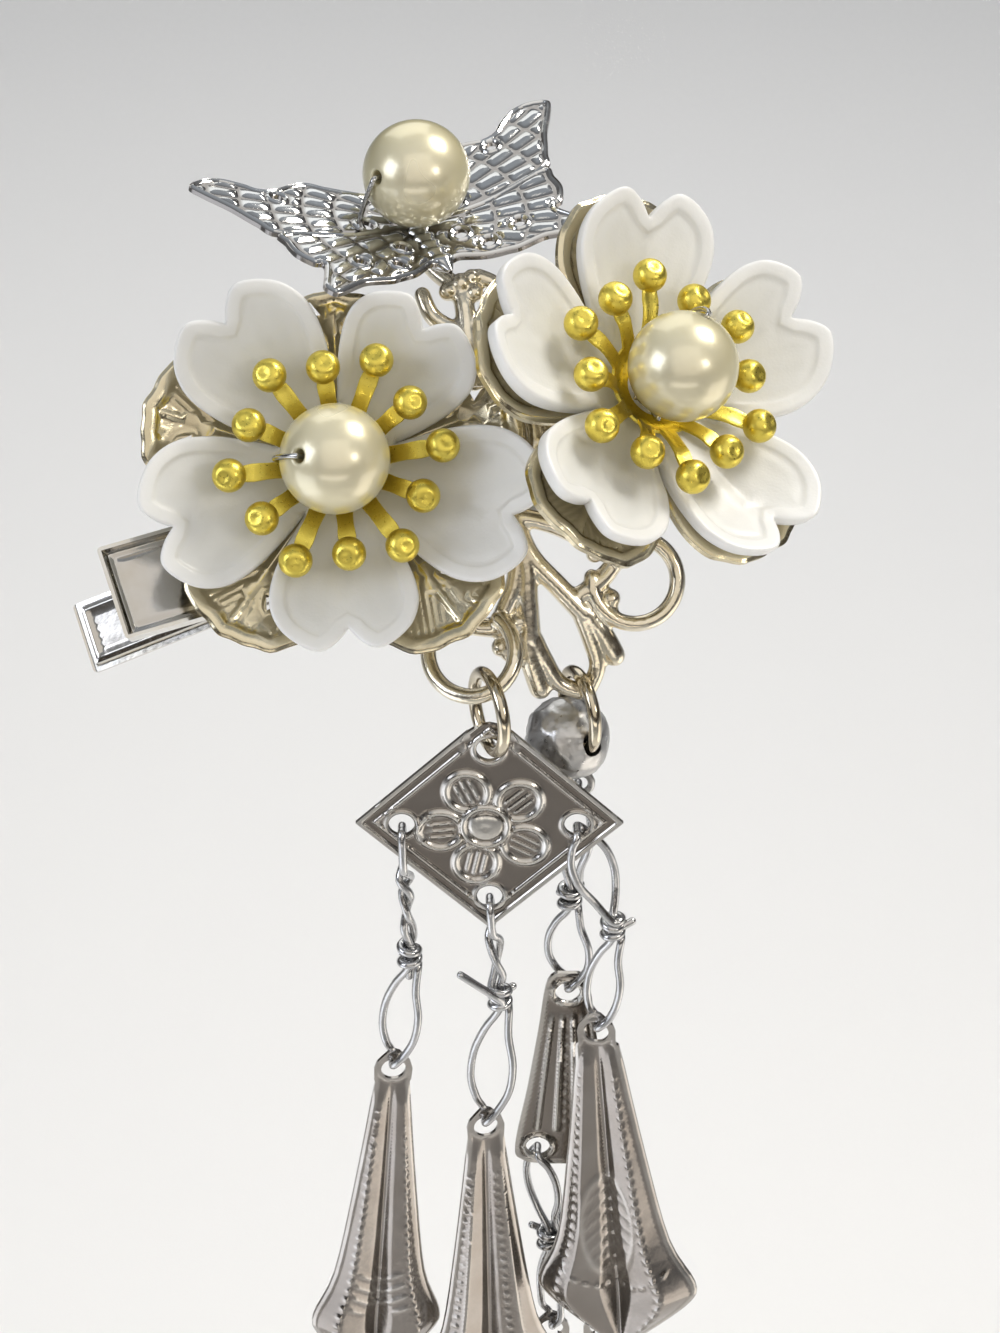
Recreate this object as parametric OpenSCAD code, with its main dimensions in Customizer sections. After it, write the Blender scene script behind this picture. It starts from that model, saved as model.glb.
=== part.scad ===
// Tassel hairpin: a sprung clip that carries a filigree base with two frosted blossoms, a stamped
// butterfly, three pearls and two hanging strands of stamped aluminium.
// The ornament is laid out on its face, leaning back by face_tilt, in u to the right, v up the face
// and w off the face. Whatever hangs is laid out upright, with z up and the front towards minus y.

/* [Face] */
// Angle that the ornament's face leans back from upright, in degrees
face_tilt = 32; // [25:1:40]
// Turn of the clip across the face, in degrees
clip_turn = 19; // [17:1:21]
// Turn of the clip about its own length, in degrees
clip_roll = -9; // [-10:1:-7]

/* [Clip] */
// Reach of the jaws forward of the grip's middle
jaw_reach = 19; // [16:0.5:22]
// Distance of the hinge pin behind the grip's middle
hinge_back = 17; // [16:0.5:18]
// Length of the outer lever behind the hinge pin
outer_lever = 14.5; // [13:0.5:15.5]
// Length of the inner lever behind the hinge pin
inner_lever = 19; // [17:0.5:20]
// Width of the outer jaw and its lever
outer_w = 7.2; // [6.8:0.1:7.6]
// Thickness of the clip's sheet
clip_sheet = 0.6; // [0.5:0.05:0.7]
// Radius of the hinge pin
pin_r = 0.6; // [0.5:0.05:0.7]

/* [Blossoms] */
// Radius of a blossom to the tips of its petals
blossom_r = 14.9; // [14:0.1:15.2]
// Height that a blossom's petals curve up to
blossom_cup = 4.4; // [3.8:0.1:5]
// Thickness of the moulded petals
petal_t = 1.2; // [1:0.1:1.4]
// Radius of the metal flower behind a blossom
leaf_r = 15.8; // [15:0.1:16.4]
// Height that the metal petals curve up to
leaf_cup = 3.2; // [2.6:0.1:3.6]
// Lean of the right flower to the upper right, in degrees
right_lean = 34; // [32:1:35]

/* [Stamens and pearls] */
// Radius of the circle of the six long stamens
long_stamen = 7.8; // [7.2:0.1:8.2]
// Radius of the circle of the six short stamens
short_stamen = 6.8; // [6.2:0.1:7]
// Radius of a stamen's ball
stamen_ball = 1.25; // [1:0.05:1.35]
// Radius of a pearl
pearl_r = 4; // [3.8:0.05:4.1]
// Radius of the bore through a pearl
pearl_bore = 0.5; // [0.4:0.05:0.6]
// Radius of the pearls' wire
thread_r = 0.2; // [0.15:0.01:0.25]

/* [Butterfly] */
// Lift of each wing, in degrees
wing_lift = 12; // [9:1:14]
// Turn of the butterfly about the upright, in degrees
wing_turn = 28; // [24:1:32]
// Thickness of the wing sheet
wing_t = 0.5; // [0.4:0.05:0.6]

/* [Hanging strands] */
// Radius of a jump ring to the middle of its wire
ring_r = 3; // [2.8:0.05:3.2]
// Radius of a jump ring's wire
ring_wire = 0.5; // [0.45:0.01:0.52]
// Half width of the diamond plate
plate_w = 10.2; // [9.8:0.1:10.6]
// Half height of the diamond plate
plate_h = 9.9; // [9.5:0.1:10.2]
// Thickness of the diamond plate's sheet
plate_t = 0.4; // [0.35:0.05:0.5]
// Radius of a link's wire
link_wire = 0.32; // [0.28:0.01:0.34]
// Length of a front leaf drop below its hole
drop_len = 34; // [32:0.5:35]
// Half width of the middle leaf drop
drop_w = 5.8; // [5.5:0.1:5.9]
// Radius of the silver ball
ball_r = 3.4; // [3.2:0.05:3.5]

/* [Hidden] */
$fn = 48;

// Clip, in its own frame: x towards the jaws' tips, z towards the front, parting plane at z = 0
jaw_gap = 0.15;
hump = 1.5;
lever_rise = 0.21;
clip_sink = 0.57;
inner_w = outer_w - 1.6;
lip_h = 1.1;
ear_r = 1.9;
fit = 0.05;

// Filigree base: its middle and axis on the face, its domed plane, and the loops at its lower end
base_at = [-3.4, 2.2];
base_axis = -66;
base_top_w = 2.6;
base_fall = 0.01;
loop_r = 3.25;
loop_wire = 0.5;
loop_mid = [14.5, 6.7];
loop_lift = 3.8;
crotch = 20.45;

// Flowers: the middle of each metal flower's back, as u, v, w
left_at = [-13.35, 0.1, 3.6];
right_at = [8.25, 4.5, 5.5];
right_lean_to = 33;
leaf_t = 0.5;
leaf_turn_left = 20;
leaf_turn_right = 24;
blossom_turn_left = 56;
blossom_turn_right = 22;
stamen_turn_left = 8;
stamen_turn_right = 37;
blossom_up = 0.9;
disc_up = blossom_up + petal_t + 0.5;
disc_t = 0.35;
disc_r = 3.6;
disc_hole = 2;
pearl_up = disc_up + disc_t + 0.2 + pearl_r;
centre_hole = 0.9;
petals = 5;

// Butterfly: the middle of its body's underside, upright frame
fly_at = [-8, 9.6, 15.2];
fly_nose = 11;
fly_roll = -2;
fly_relief = 0.35;
fly_pearl_up = wing_t + fly_relief + 0.25 + pearl_r;

// Strands: each pivot is where a jump ring hangs, upright frame, and ring_hang is from there up to its wire
front_pivot = row_of(on_unit([loop_mid.x + loop_r, -loop_mid.y, loop_lift]));
rear_pivot = row_of(on_unit([crotch, -0.4, 0]));
ring_hang = 1.3;
ring_yaw = 22;
hole_r = 1;
hole_rest = 0.25;
plate_top = front_pivot - [0, 0, 2 * ring_r - ring_hang + hole_r - ring_wire - hole_rest];
top_hole = [0, 6.6];
plate_mid = plate_top - [0, 0, top_hole.y];
plate_relief = 0.2;
side_hole = [6.7, -0.25];
low_hole = [0, -7];
ball_off = 0.9;
ball_mid = rear_pivot - [ball_off, -0.2, 2 * ring_r - ring_hang - 0.3];
eye_r = 1;
eye_wire = 0.3;
ball_eye = ball_mid + [ball_off, -0.2, -ball_r - 0.6];
fan_top = [rear_pivot.x - 0.6, rear_pivot.y, -43.6];
fan_holes = [[-2.3, -16.2], [2.3, -16.2]];

// A point of the face in the upright frame
function row_of(p) = [
  p.x,
  p.y * sin(face_tilt) - p.z * cos(face_tilt),
  p.y * cos(face_tilt) + p.z * sin(face_tilt)
];

// A point of the base: x out along a unit's axis, y across it, z lift off its domed plane
function on_base(p) = let (q = [p.x, p.y]) [q.x, q.y, base_top_w - base_fall * (q * q) + p.z];

// The same point, as u, v, w of the face
function on_unit(p) = let (q = on_base(p), c = cos(base_axis), s = sin(base_axis))
  [base_at.x + q.x * c - q.y * s, base_at.y + q.x * s + q.y * c, q.z];

module on_face() rotate([90 - face_tilt, 0, 0]) children();

module on_clip() rotate(clip_turn) rotate([clip_roll, 0, 0]) translate([0, 0, -clip_sink]) children();

module in_clip() on_face() on_clip() children();

module in_left() on_face() translate(left_at) children();

module in_right() on_face() translate(right_at) rotate(right_lean_to) rotate([0, right_lean, 0])
  rotate(-right_lean_to) children();

// Sweeps and sheets

function unit(v) = v / norm(v);

function tangent(p, i) = unit(p[min(i + 1, len(p) - 1)] - p[max(i - 1, 0)]);

// A direction across each point of a route, carried along it without twist
function across(p) = [
  for (i = 0, t = tangent(p, 0), s = unit(cross(t, abs(t.z) < 0.9 ? [0, 0, 1] : [1, 0, 0]));
       i < len(p);
       i = i + 1,
       t = tangent(p, min(i, len(p) - 1)),
       s = unit(s - (s * t) * t))
    s
];

// A round tube along a route, with a radius of its own at each point when radii is a list
module tube(p, radii, sides) {
  s = across(p);
  n = len(p);
  pts = [
    for (i = [0 : n - 1])
      let (t = tangent(p, i), c = cross(t, s[i]), r = is_list(radii) ? radii[i] : radii)
        for (k = [0 : sides - 1])
          p[i] + r * (cos(360 * k / sides) * s[i] + sin(360 * k / sides) * c)
  ];
  polyhedron(pts, concat(
    [[for (k = [0 : sides - 1]) k]],
    [for (i = [0 : n - 2], k = [0 : sides - 1])
      let (a = i * sides + k, b = i * sides + (k + 1) % sides)
        [a, a + sides, b + sides, b]],
    [[for (k = [sides - 1 : -1 : 0]) (n - 1) * sides + k]]
  ));
}

// A smooth route through control points, with steps points to a span
function smooth(c, steps) = concat(
  [for (i = [0 : len(c) - 2], k = [0 : steps - 1])
    let (t = k / steps, a = c[max(i - 1, 0)], b = c[i], d = c[i + 1], e = c[min(i + 2, len(c) - 1)])
      0.5 * (2 * b + (d - a) * t + (2 * a - 5 * b + 4 * d - e) * t * t
        + (3 * b - a - 3 * d + e) * t * t * t)],
  [c[len(c) - 1]]
);

// A closed solid between a front and a back grid of the same rows and columns
module sheet(front, back) {
  rows = len(front);
  cols = len(front[0]);
  size = rows * cols;
  pts = concat([for (r = front, p = r) p], [for (r = back, p = r) p]);
  polyhedron(pts, concat(
    [for (i = [0 : rows - 2], k = [0 : cols - 2])
      let (a = i * cols + k) each [[a, a + 1, a + cols + 1], [a, a + cols + 1, a + cols]]],
    [for (i = [0 : rows - 2], k = [0 : cols - 2])
      let (a = size + i * cols + k) each [[a, a + cols + 1, a + 1], [a, a + cols, a + cols + 1]]],
    [for (k = [0 : cols - 2]) each [[k, size + k, k + 1], [k + 1, size + k, size + k + 1]]],
    [for (k = [0 : cols - 2])
      let (a = (rows - 1) * cols + k) each [[a, a + 1, size + a], [a + 1, size + a + 1, size + a]]],
    [for (i = [0 : rows - 2])
      let (a = i * cols, b = a + cols) each [[a, b, size + a], [b, size + b, size + a]]],
    [for (i = [0 : rows - 2])
      let (a = i * cols + cols - 1, b = a + cols) each [[a, size + a, b], [b, size + a, size + b]]]
  ));
}

// A flower's ring: rings from a centre hole out to an outline, closed round, with a top and a back
module flower_sheet(top, back) {
  rings = len(top);
  n = len(top[0]);
  size = rings * n;
  pts = concat([for (r = top, p = r) p], [for (r = back, p = r) p]);
  polyhedron(pts, concat(
    [for (i = [0 : rings - 2], k = [0 : n - 1])
      let (a = i * n + k, b = i * n + (k + 1) % n) each [[a, b, b + n], [a, b + n, a + n]]],
    [for (i = [0 : rings - 2], k = [0 : n - 1])
      let (a = size + i * n + k, b = size + i * n + (k + 1) % n)
        each [[a, b + n, b], [a, a + n, b + n]]],
    [for (k = [0 : n - 1])
      let (b = (k + 1) % n) each [[k, size + k, size + b], [k, size + b, b]]],
    [for (k = [0 : n - 1])
      let (a = (rings - 1) * n + k, b = (rings - 1) * n + (k + 1) % n)
        each [[a, b, size + b], [a, size + b, size + a]]]
  ));
}

// Clip

// Side outline of a jaw and its lever: a bent strip that clears the spring at the hinge
module jaw_profile(lever) {
  x0 = -hinge_back;
  top = [
    [jaw_reach, jaw_gap], [x0 + 5, jaw_gap], [x0 + 1.6, hump],
    [x0 - 1.6, hump + 0.1], [x0 - lever, hump + 0.1 + lever * lever_rise]
  ];
  n = len(top);
  polygon(concat(top, [for (i = [n - 1 : -1 : 0]) top[i] + [0, clip_sheet]]));
}

module jaw(lever, width, side) {
  x0 = -hinge_back;
  lip = 0.55;
  lever_top = hump + 0.1 + clip_sheet;
  round_r = side > 0 ? ear_r : hump - 0.2;
  mirror([0, 0, side < 0 ? 1 : 0]) {
    translate([0, width / 2, 0]) rotate([90, 0, 0]) linear_extrude(width) jaw_profile(lever);
    for (s = [-1, 1])
      translate([x0, s * (width / 2 - lip / 2) + lip / 2, 0]) rotate([90, 0, 0])
        linear_extrude(lip) difference() {
          union() {
            circle(r = round_r);
            translate([-round_r, 0]) square([2 * round_r, hump + 0.3]);
          }
          circle(r = side > 0 ? pin_r + fit / 2 : pin_r + fit);
        }
  }
  // The lips of both levers stand towards the front
  base_z = side > 0 ? lever_top - 0.2 : -hump - 0.3;
  run = lever - 2.4;
  slope = side * atan(lever_rise);
  translate([x0 - 1.8, 0, base_z]) rotate([0, slope, 0]) {
    for (s = [-1, 1])
      translate([-run - 0.6, s * (width / 2 - lip / 2) - lip / 2, 0])
        cube([run, lip, lip_h + 0.2]);
    translate([-run - 0.6, -width / 2, 0]) cube([lip, width, lip_h + 0.2]);
  }
}

module clip_outer_jaw() color("#c9c4b8") in_clip() jaw(outer_lever, outer_w, 1);

module clip_inner_jaw() color("#b9b6ae") in_clip() jaw(inner_lever, inner_w, -1);

module clip_pin() color("#a8a59d") in_clip()
  translate([-hinge_back, 0, 0]) rotate([90, 0, 0])
    cylinder(r = pin_r, h = outer_w + 0.8, center = true);

module clip_spring() color("#a8a59d") in_clip()
  translate([-hinge_back, 0, 0]) rotate([90, 0, 0]) difference() {
    cylinder(r = hump - 0.2, h = inner_w - 1.5, center = true);
    cylinder(r = pin_r + 0.05, h = inner_w, center = true);
  }

// Filigree base

// A cast rod through control points given as x, y, lift, radius
module rod(c, steps = 3) {
  route = smooth([for (r = c) [r[0], r[1], r[2]]], steps);
  thick = smooth([for (r = c) [r[3], 0, 0]], steps);
  pts = [for (r = route) on_base(r)];
  for (i = [0 : len(pts) - 2])
    hull() {
      translate(pts[i]) sphere(r = thick[i].x, $fn = 6);
      translate(pts[i + 1]) sphere(r = thick[i + 1].x, $fn = 6);
    }
}

// Rows of control points on one half of a unit: x out, y across, lift, radius
stem = [[4, 0, 0, 0.8], [7, 0.1, 0, 0.75], [9.8, 0.25, 0, 0.7], [12.6, 1.25, 0, 0.7], [15.3, 2.25, 0, 0.75]];
inner_finger = [[15, 2.1, 0, 0.7], [17.2, 1.95, 0, 0.62], [19.2, 1.6, 0, 0.55], [crotch, 0.4, 0, 0.55]];
outer_finger = [[15, 2.4, 0, 0.7], [17, 2.85, 0, 0.75], [19, 3.05, 0, 0.75]];
leaf_rod = [[13.9, 1.9, 0, 0.55], [13.5, 4.2, 0, 0.65], [12.5, 6.2, 0, 0.55]];
curl_rod = [[15, 2.4, 0, 0.55], [15.9, 3.8, 0, 0.55]];
scroll_rod = [[6.4, 0.2, 0, 0.6], [8.4, 2.9, 0, 0.6], [12.4, 6.2, 0, 0.55]];
left_band = [[9.6, 0.8, 0, 0.55], [11.4, 1.9, 0, 0.6], [13.3, 4, 0, 0.6]];
grains = [[11.5, 4.7, 0.55], [12.4, 6.3, 0.8], [15, 4.5, 0.65], [15.7, 4.2, 0.5], [16.4, 3.7, 0.5]];

// The loop that a jump ring hangs on: an open C whose far side lifts off the dome
module loop(lift) {
  sweep = [-118, 125];
  near = 12;
  steps = 9;
  rod([
    for (i = [0 : steps])
      let (a = sweep[0] + (sweep[1] - sweep[0]) * i / steps,
           p = loop_mid + loop_r * [cos(a), sin(a)])
        [p.x, p.y, lift * loop_lift * max(p.x - near, 0) / (loop_mid.x + loop_r - near), loop_wire]
  ], 1);
}

module half_unit(lift) {
  rod(stem, 2);
  rod(inner_finger, 2);
  rod(outer_finger, 1);
  rod(leaf_rod, 1);
  rod(curl_rod, 1);
  rod(scroll_rod, 2);
  for (g = grains)
    translate(on_base([g[0], g[1], 0.2])) sphere(r = g[2], $fn = 6);
  loop(lift);
}

// Above the middle, towards the butterfly: x right, y up the face
upper_rods = [
  [
    [0, 4.3, 0, 0.7], [-0.5, 7.6, 0, 0.7], [-1, 10.8, 0, 0.65],
    [-2.8, 12.6, -0.6, 0.6], [-4.7, 14.6, -0.9, 0.6]
  ],
  [[-0.6, 8, 0, 0.6], [1.5, 9.6, 0, 0.55], [1.7, 11.4, 0, 0.5], [0.3, 12.2, 0, 0.5]],
  [[-0.6, 7.6, 0, 0.6], [-3, 9, 0, 0.55], [-3.9, 10.8, 0, 0.5]]
];
upper_grains = [[-1, 11.6, 0.75], [0, 10.9, 0.6], [-2, 11, 0.6], [-0.2, 12.1, 0.55]];

// A round seat under a flower, square to its axis, on a post that stands on the arms
module seat(at, lean, lean_to, foot) {
  seat_r = 3.2;
  seat_t = 0.6;
  seat_gap = 0.15;
  post_r = 1.6;
  translate(at) rotate(lean_to) rotate([0, lean, 0]) translate([0, 0, -seat_gap - seat_t])
    cylinder(r = seat_r, h = seat_t, $fn = 16);
  hull() {
    translate(at) rotate(lean_to) rotate([0, lean, 0]) translate([0, 0, -seat_gap - seat_t])
      cylinder(r = post_r, h = 0.3, $fn = 12);
    translate(at - [0, 0, foot]) cylinder(r = post_r, h = 0.4, $fn = 12);
  }
}

module filigree_base() color("#cfc7b0") on_face() {
  middle_r = 4.5;
  arm = [[middle_r, 1.2, 0, 0.7], [7.5, 1.9, 0, 0.65], [10.8, 1, 0, 0.65]];
  translate([base_at.x, base_at.y, 0]) {
    rotate(base_axis) {
      half_unit(0.2);
      mirror([0, 1, 0]) {
        half_unit(1);
        rod(left_band, 1);
      }
    }
    for (r = upper_rods)
      rod(r, 1);
    for (g = upper_grains)
      translate(on_base([g[0], g[1], 0.2])) sphere(r = g[2], $fn = 6);
    for (a = [192, 12], s = [0, 1])
      rotate(a) mirror([0, s, 0]) rod(arm, 1);
    steps = 12;
    rod([
      for (i = [0 : steps]) let (a = 360 * i / steps)
        [middle_r * cos(a), middle_r * sin(a), 0, 0.65]
    ], 1);
  }
  seat(left_at, 0, 0, 2.2);
  seat(right_at, right_lean, right_lean_to, 4.5);
  // The pad that the clip's outer jaw is soldered to
  pad = [7, 5, 1.9];
  on_clip() translate([-3.5, -0.6, jaw_gap + clip_sheet + 0.1]) cube(pad);
}

// Flowers

// Outline tables of half a petal: degrees off the petal's middle, radius as a share of the full one
blossom_edge = [[0, 0.875], [4, 0.95], [9, 1], [16, 0.97], [23, 0.9], [29, 0.775], [33, 0.58], [36, 0.3]];
leaf_edge = [[0, 1], [8, 0.99], [16, 0.95], [23, 0.87], [29, 0.74], [33, 0.58], [36, 0.4]];

// Degrees, radius share and degrees off the petal's middle, all round. Each petal has its own reach,
// as a share of the full radius, and its own turn, which fades out into the clefts.
function petal_angles(edge, own) = [
  for (p = [0 : petals - 1]) let (mid = 360 * p / petals) each concat(
    [for (i = [len(edge) - 1 : -1 : 1]) petal_point(mid, edge[i], -1, own[p])],
    [for (i = [0 : len(edge) - 2]) petal_point(mid, edge[i], 1, own[p])]
  )
];

function petal_point(mid, e, side, own) =
  let (fade = 1 - pow(e[0] / 36, 3))
    [mid + side * e[0] + own[1] * fade, e[1] * (1 + (own[0] - 1) * fade), side * e[0]];

function flower_grid(edge, shares, own, full, cup, bow, lift) = [
  for (f = shares) [
    for (a = petal_angles(edge, own))
      let (r = centre_hole + (a[1] * full - centre_hole) * f[0],
           side = a[2] / 36)
        [r * cos(a[0]), r * sin(a[0]),
         cup * pow(r / full, 2) + bow * side * side * f[0] + lift + f[1]]
  ]
];

module blossom(own) {
  top = [[0, 0], [0.3, -0.1], [0.62, -0.15], [0.88, -0.05], [0.99, -0.3]];
  under = [[0, 0], [0.3, 0], [0.62, 0], [0.88, 0.05], [1, 0.35]];
  flower_sheet(
    flower_grid(blossom_edge, top, own, blossom_r, blossom_cup, 0.25, blossom_up + petal_t),
    flower_grid(blossom_edge, under, own, blossom_r, blossom_cup, 0.25, blossom_up));
}

module back_flower(own) {
  relief = [[0, 0], [0.4, 0], [0.78, 0.05], [0.92, 0.45], [1, 0.35]];
  difference() {
    flower_sheet(
      flower_grid(leaf_edge, relief, own, leaf_r, leaf_cup, 0, leaf_t),
      flower_grid(leaf_edge, relief, own, leaf_r, leaf_cup, 0, 0));
    for (p = [0 : petals - 1])
      rotate(360 * p / petals) translate([11.2, 1.6, 0]) cylinder(r = 0.7, h = 8, $fn = 3);
  }
}

module back_flower_left() color("#d8cdb6") in_left() rotate(leaf_turn_left)
  back_flower([[0.88, 0], [0.8, 0], [0.93, 0], [0.96, 0], [1, 0]]);

module back_flower_right() color("#d8cdb6") in_right() rotate(leaf_turn_right)
  back_flower([[0.92, 6], [0.96, 0], [0.94, 0], [0.98, -2], [0.93, -3]]);

module blossom_left() color("#f1eeea") in_left() rotate(blossom_turn_left)
  blossom([[0.88, 1], [0.98, 1], [0.98, 2], [0.93, 2], [1.03, -1]]);

module blossom_right() color("#f1eeea") in_right() rotate(blossom_turn_right)
  blossom([[1, 7], [0.98, -3], [1, 0], [0.98, -4], [0.98, -2]]);

// A disc with twelve flat arms, long and short in turn, each with a ball on its end
module stamens() {
  root = 3;
  rise = 2.7;
  arm_w = 1;
  difference() {
    union() {
      translate([0, 0, disc_up]) cylinder(r = disc_r, h = disc_t);
      for (i = [0 : 11])
        rotate(i * 30) {
          r = i % 2 == 0 ? long_stamen : short_stamen;
          run = r - root;
          translate([root, 0, disc_up + disc_t / 2]) rotate([0, -atan(rise / run), 0])
            translate([0, -arm_w / 2, -disc_t / 2]) cube([norm([run, rise]), arm_w, disc_t]);
          translate([r, 0, disc_up + disc_t / 2 + rise]) sphere(r = stamen_ball);
        }
    }
    translate([0, 0, disc_up - 1]) cylinder(r = disc_hole, h = 3);
  }
}

module stamens_left() color("#d6bf3e") in_left() rotate(stamen_turn_left) stamens();

module stamens_right() color("#d6bf3e") in_right() rotate(stamen_turn_right) stamens();

// Pearls and their wire, in a frame whose z is the flower's axis, with the bore leaning by lean

module pearl(lean) rotate([0, lean, 0]) difference() {
  sphere(r = pearl_r);
  cylinder(r = pearl_bore, h = 3 * pearl_r, center = true);
}

// The wire's route: up the middle, round under the pearl into the bore, out and back round it
function round_pearl(a, r) = r * [sin(a), 0, cos(a)];

function pearl_route(lean, below) =
  let (out = pearl_r + thread_r + 0.12, low = lean + 180, pair = 0.35, steps = 9)
    concat(
      [[-pair, 0, -below], [-pair, 0, -out - 0.15]],
      [for (i = [1 : 3]) round_pearl(185 + (low - 185) * i / 4, out)],
      [round_pearl(low, out - 0.1), round_pearl(low, pearl_r - 0.6), round_pearl(lean, pearl_r - 0.6),
       round_pearl(lean, out - 0.1)],
      [for (i = [1 : steps - 1]) round_pearl(lean + (175 - lean) * i / steps, out)],
      [[pair, 0, -out - 0.15], [pair, 0, -below]]
    );

module pearl_wire(lean, below) tube(pearl_route(lean, below), thread_r, 6);

left_bore = [180, 38];
right_bore = [77, 46];
top_bore = [191, 74];

module pearl_left() color("#efe6d2") in_left() translate([0, 0, pearl_up]) rotate(left_bore[0])
  pearl(left_bore[1]);

module pearl_right() color("#efe6d2") in_right() translate([0, 0, pearl_up]) rotate(right_bore[0])
  pearl(right_bore[1]);

module pearl_wire_left() color("#b5b5b3") in_left() translate([0, 0, pearl_up]) rotate(left_bore[0])
  pearl_wire(left_bore[1], pearl_up + 0.1);

module pearl_wire_right() color("#b5b5b3") in_right() translate([0, 0, pearl_up])
  rotate(right_bore[0]) pearl_wire(right_bore[1], pearl_up + 0.1);

// Butterfly, in its own frame: x to its right, y towards its head, z up

module in_fly() translate(fly_at) rotate([fly_nose, fly_roll, wing_turn]) children();

fore_wing = [
  [0.2, 4.2], [2.3, 5], [4.4, 5.9], [6.1, 6.8], [7.7, 6.6], [9.2, 6.1], [10.4, 6.3], [11.2, 7],
  [12.8, 7.9], [14.4, 7.9], [15.6, 7.1], [15, 5.8], [13.7, 3.9], [12.5, 1.6], [11.3, 0], [5.5, -0.8],
  [0.2, -0.8]
];
hind_wing = [
  [0.2, 0], [5.5, -0.5], [11.2, 0.1], [11.5, -1.3], [11.4, -2.8], [10.6, -4.1], [9.9, -4.4], [10.6, -5.9],
  [11.2, -7.1], [10.9, -8], [10.2, -8.1], [8.4, -7.3], [7.4, -7], [5.5, -7], [4.7, -6.8], [3, -6.3],
  [1.3, -5.2], [0.2, -4.8]
];
wing_holes = [[9.3, 4.9], [6.8, -4.4], [2.6, -2.9], [3.9, -5]];
wing_hole_r = 0.45;
thread_hole = [3.9, 0.6];
thread_hole_r = 0.75;

// Rows of raised cells along arcs round a wing's root
module cells(last, from, to) {
  row_gap = 2.5;
  cell = [2, 0.85];
  cell_gap = 1.5;
  for (r = [2.8 : row_gap : last]) {
    n = floor((to - from) * PI / 180 * (r + cell.x / 2) / cell_gap);
    for (k = [0 : n - 1])
      rotate(from + (k + 0.5) * (to - from) / n) translate([r, -cell.y / 2]) square(cell);
  }
}

module wing(outline, middle, reach, from, to) {
  inset = 0.88;
  linear_extrude(wing_t) polygon(outline);
  linear_extrude(wing_t + fly_relief) intersection() {
    translate(middle) scale(inset) translate(-middle) polygon(outline);
    cells(reach, from, to);
  }
}

module butterfly() color("#c4c8cc") in_fly() difference() {
  body_w = 2;
  rib_w = 1.6;
  rib_l = 0.6;
  union() {
    for (s = [0, 1])
      mirror([s, 0, 0]) rotate([0, -wing_lift, 0]) {
        wing(fore_wing, [8.5, 3.6], 15, 2, 58);
        wing(hind_wing, [6.3, -3.4], 11, -66, -4);
      }
    translate([-body_w / 2, -6, -0.2]) cube([body_w, 10.6, wing_t + 0.4]);
    for (y = [-5.6 : 1.1 : 4])
      translate([-rib_w / 2, y, 0]) cube([rib_w, rib_l, wing_t + fly_relief + 0.1]);
  }
  for (s = [-1, 1]) {
    for (h = wing_holes)
      translate([s * h.x, h.y, -1]) cylinder(r = wing_hole_r, h = 6);
    translate([s * thread_hole.x, thread_hole.y, -1]) cylinder(r = thread_hole_r, h = 4);
  }
}

module pearl_top() color("#efe6d2") in_fly() translate([0, 0, fly_pearl_up]) rotate(top_bore[0])
  pearl(top_bore[1]);

// The top pearl's wire: up through one wing, through the pearl and down through the other wing
module pearl_wire_top() color("#b5b5b3") in_fly() {
  c = [0, 0, fly_pearl_up];
  along = [sin(top_bore[1]) * cos(top_bore[0]), sin(top_bore[1]) * sin(top_bore[0]), cos(top_bore[1])];
  lift = thread_hole.x * tan(wing_lift);
  foot = [-thread_hole.x, thread_hole.y, lift];
  other = [thread_hole.x, thread_hole.y, lift];
  out = pearl_r + 0.4;
  tube(smooth([
    foot - [-1.2, 0, 2.6], foot, foot + [-0.6, -0.5, 1.4], c + (along * out) + [0, 0, -0.7],
    c + along * (pearl_r - 0.4), c, c - along * (pearl_r - 0.4), c - along * out,
    other + [0.5, -0.2, 1.2], other, other - [1.2, 0, 2.6]
  ], 3), thread_r, 6);
}

// Strands

module upright(t) rotate([90, 0, 0]) linear_extrude(t) children();

module jump_ring() rotate(ring_yaw) rotate([0, 90, 0]) rotate_extrude($fn = 64)
  translate([ring_r, 0]) circle(r = ring_wire, $fn = 24);

module jump_ring_front() color("#cfc7b0")
  translate(front_pivot - [0, 0, ring_r - ring_hang]) jump_ring();

module jump_ring_rear() color("#cfc7b0")
  translate(rear_pivot - [0, 0, ring_r - ring_hang]) jump_ring();

module diamond(share) polygon(share * [
  [-plate_w, 0], [0, -plate_h], [plate_w, 0],
  [plate_w * 0.16, plate_h * 0.84], [-plate_w * 0.16, plate_h * 0.84]
]);

// The stamped flower: five round petals with ribs about a round boss
module plate_flower() {
  rib = 0.24;
  translate([-0.3, -0.4]) {
    for (p = [0 : petals - 1])
      rotate(-102 + 72 * p) translate([3.5, 0]) {
        difference() {
          circle(r = 1.85);
          circle(r = 1.5);
        }
        for (y = [-0.75, 0, 0.75])
          translate([-1.2, y - rib / 2]) square([2.4, rib]);
      }
    difference() {
      circle(r = 1.95);
      circle(r = 1.6);
    }
    circle(r = 0.9);
  }
}

module diamond_plate() color("#b9babb") translate(plate_mid) difference() {
  union() {
    translate([0, plate_t / 2, 0]) upright(plate_t) {
      diamond(1);
      translate(top_hole) circle(r = 2.3);
    }
    upright(plate_t / 2 + plate_relief) {
      for (share = [1, 0.86])
        difference() {
          diamond(share);
          diamond(share - 0.045);
        }
      plate_flower();
    }
  }
  translate([0, plate_t, 0]) upright(3 * plate_t)
    for (h = [top_hole, side_hole, [-side_hole.x, side_hole.y], low_hole])
      translate(h) circle(r = hole_r);
}

// Wire links: each is one wire, looped through a hole above and a hole below and wound on itself
// between them. Angles are about the upright, from the front towards the right.

wrap_r = 2 * link_wire + 0.08;
wrap_turns = 1.25;
wrap_half = 1.05;

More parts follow.
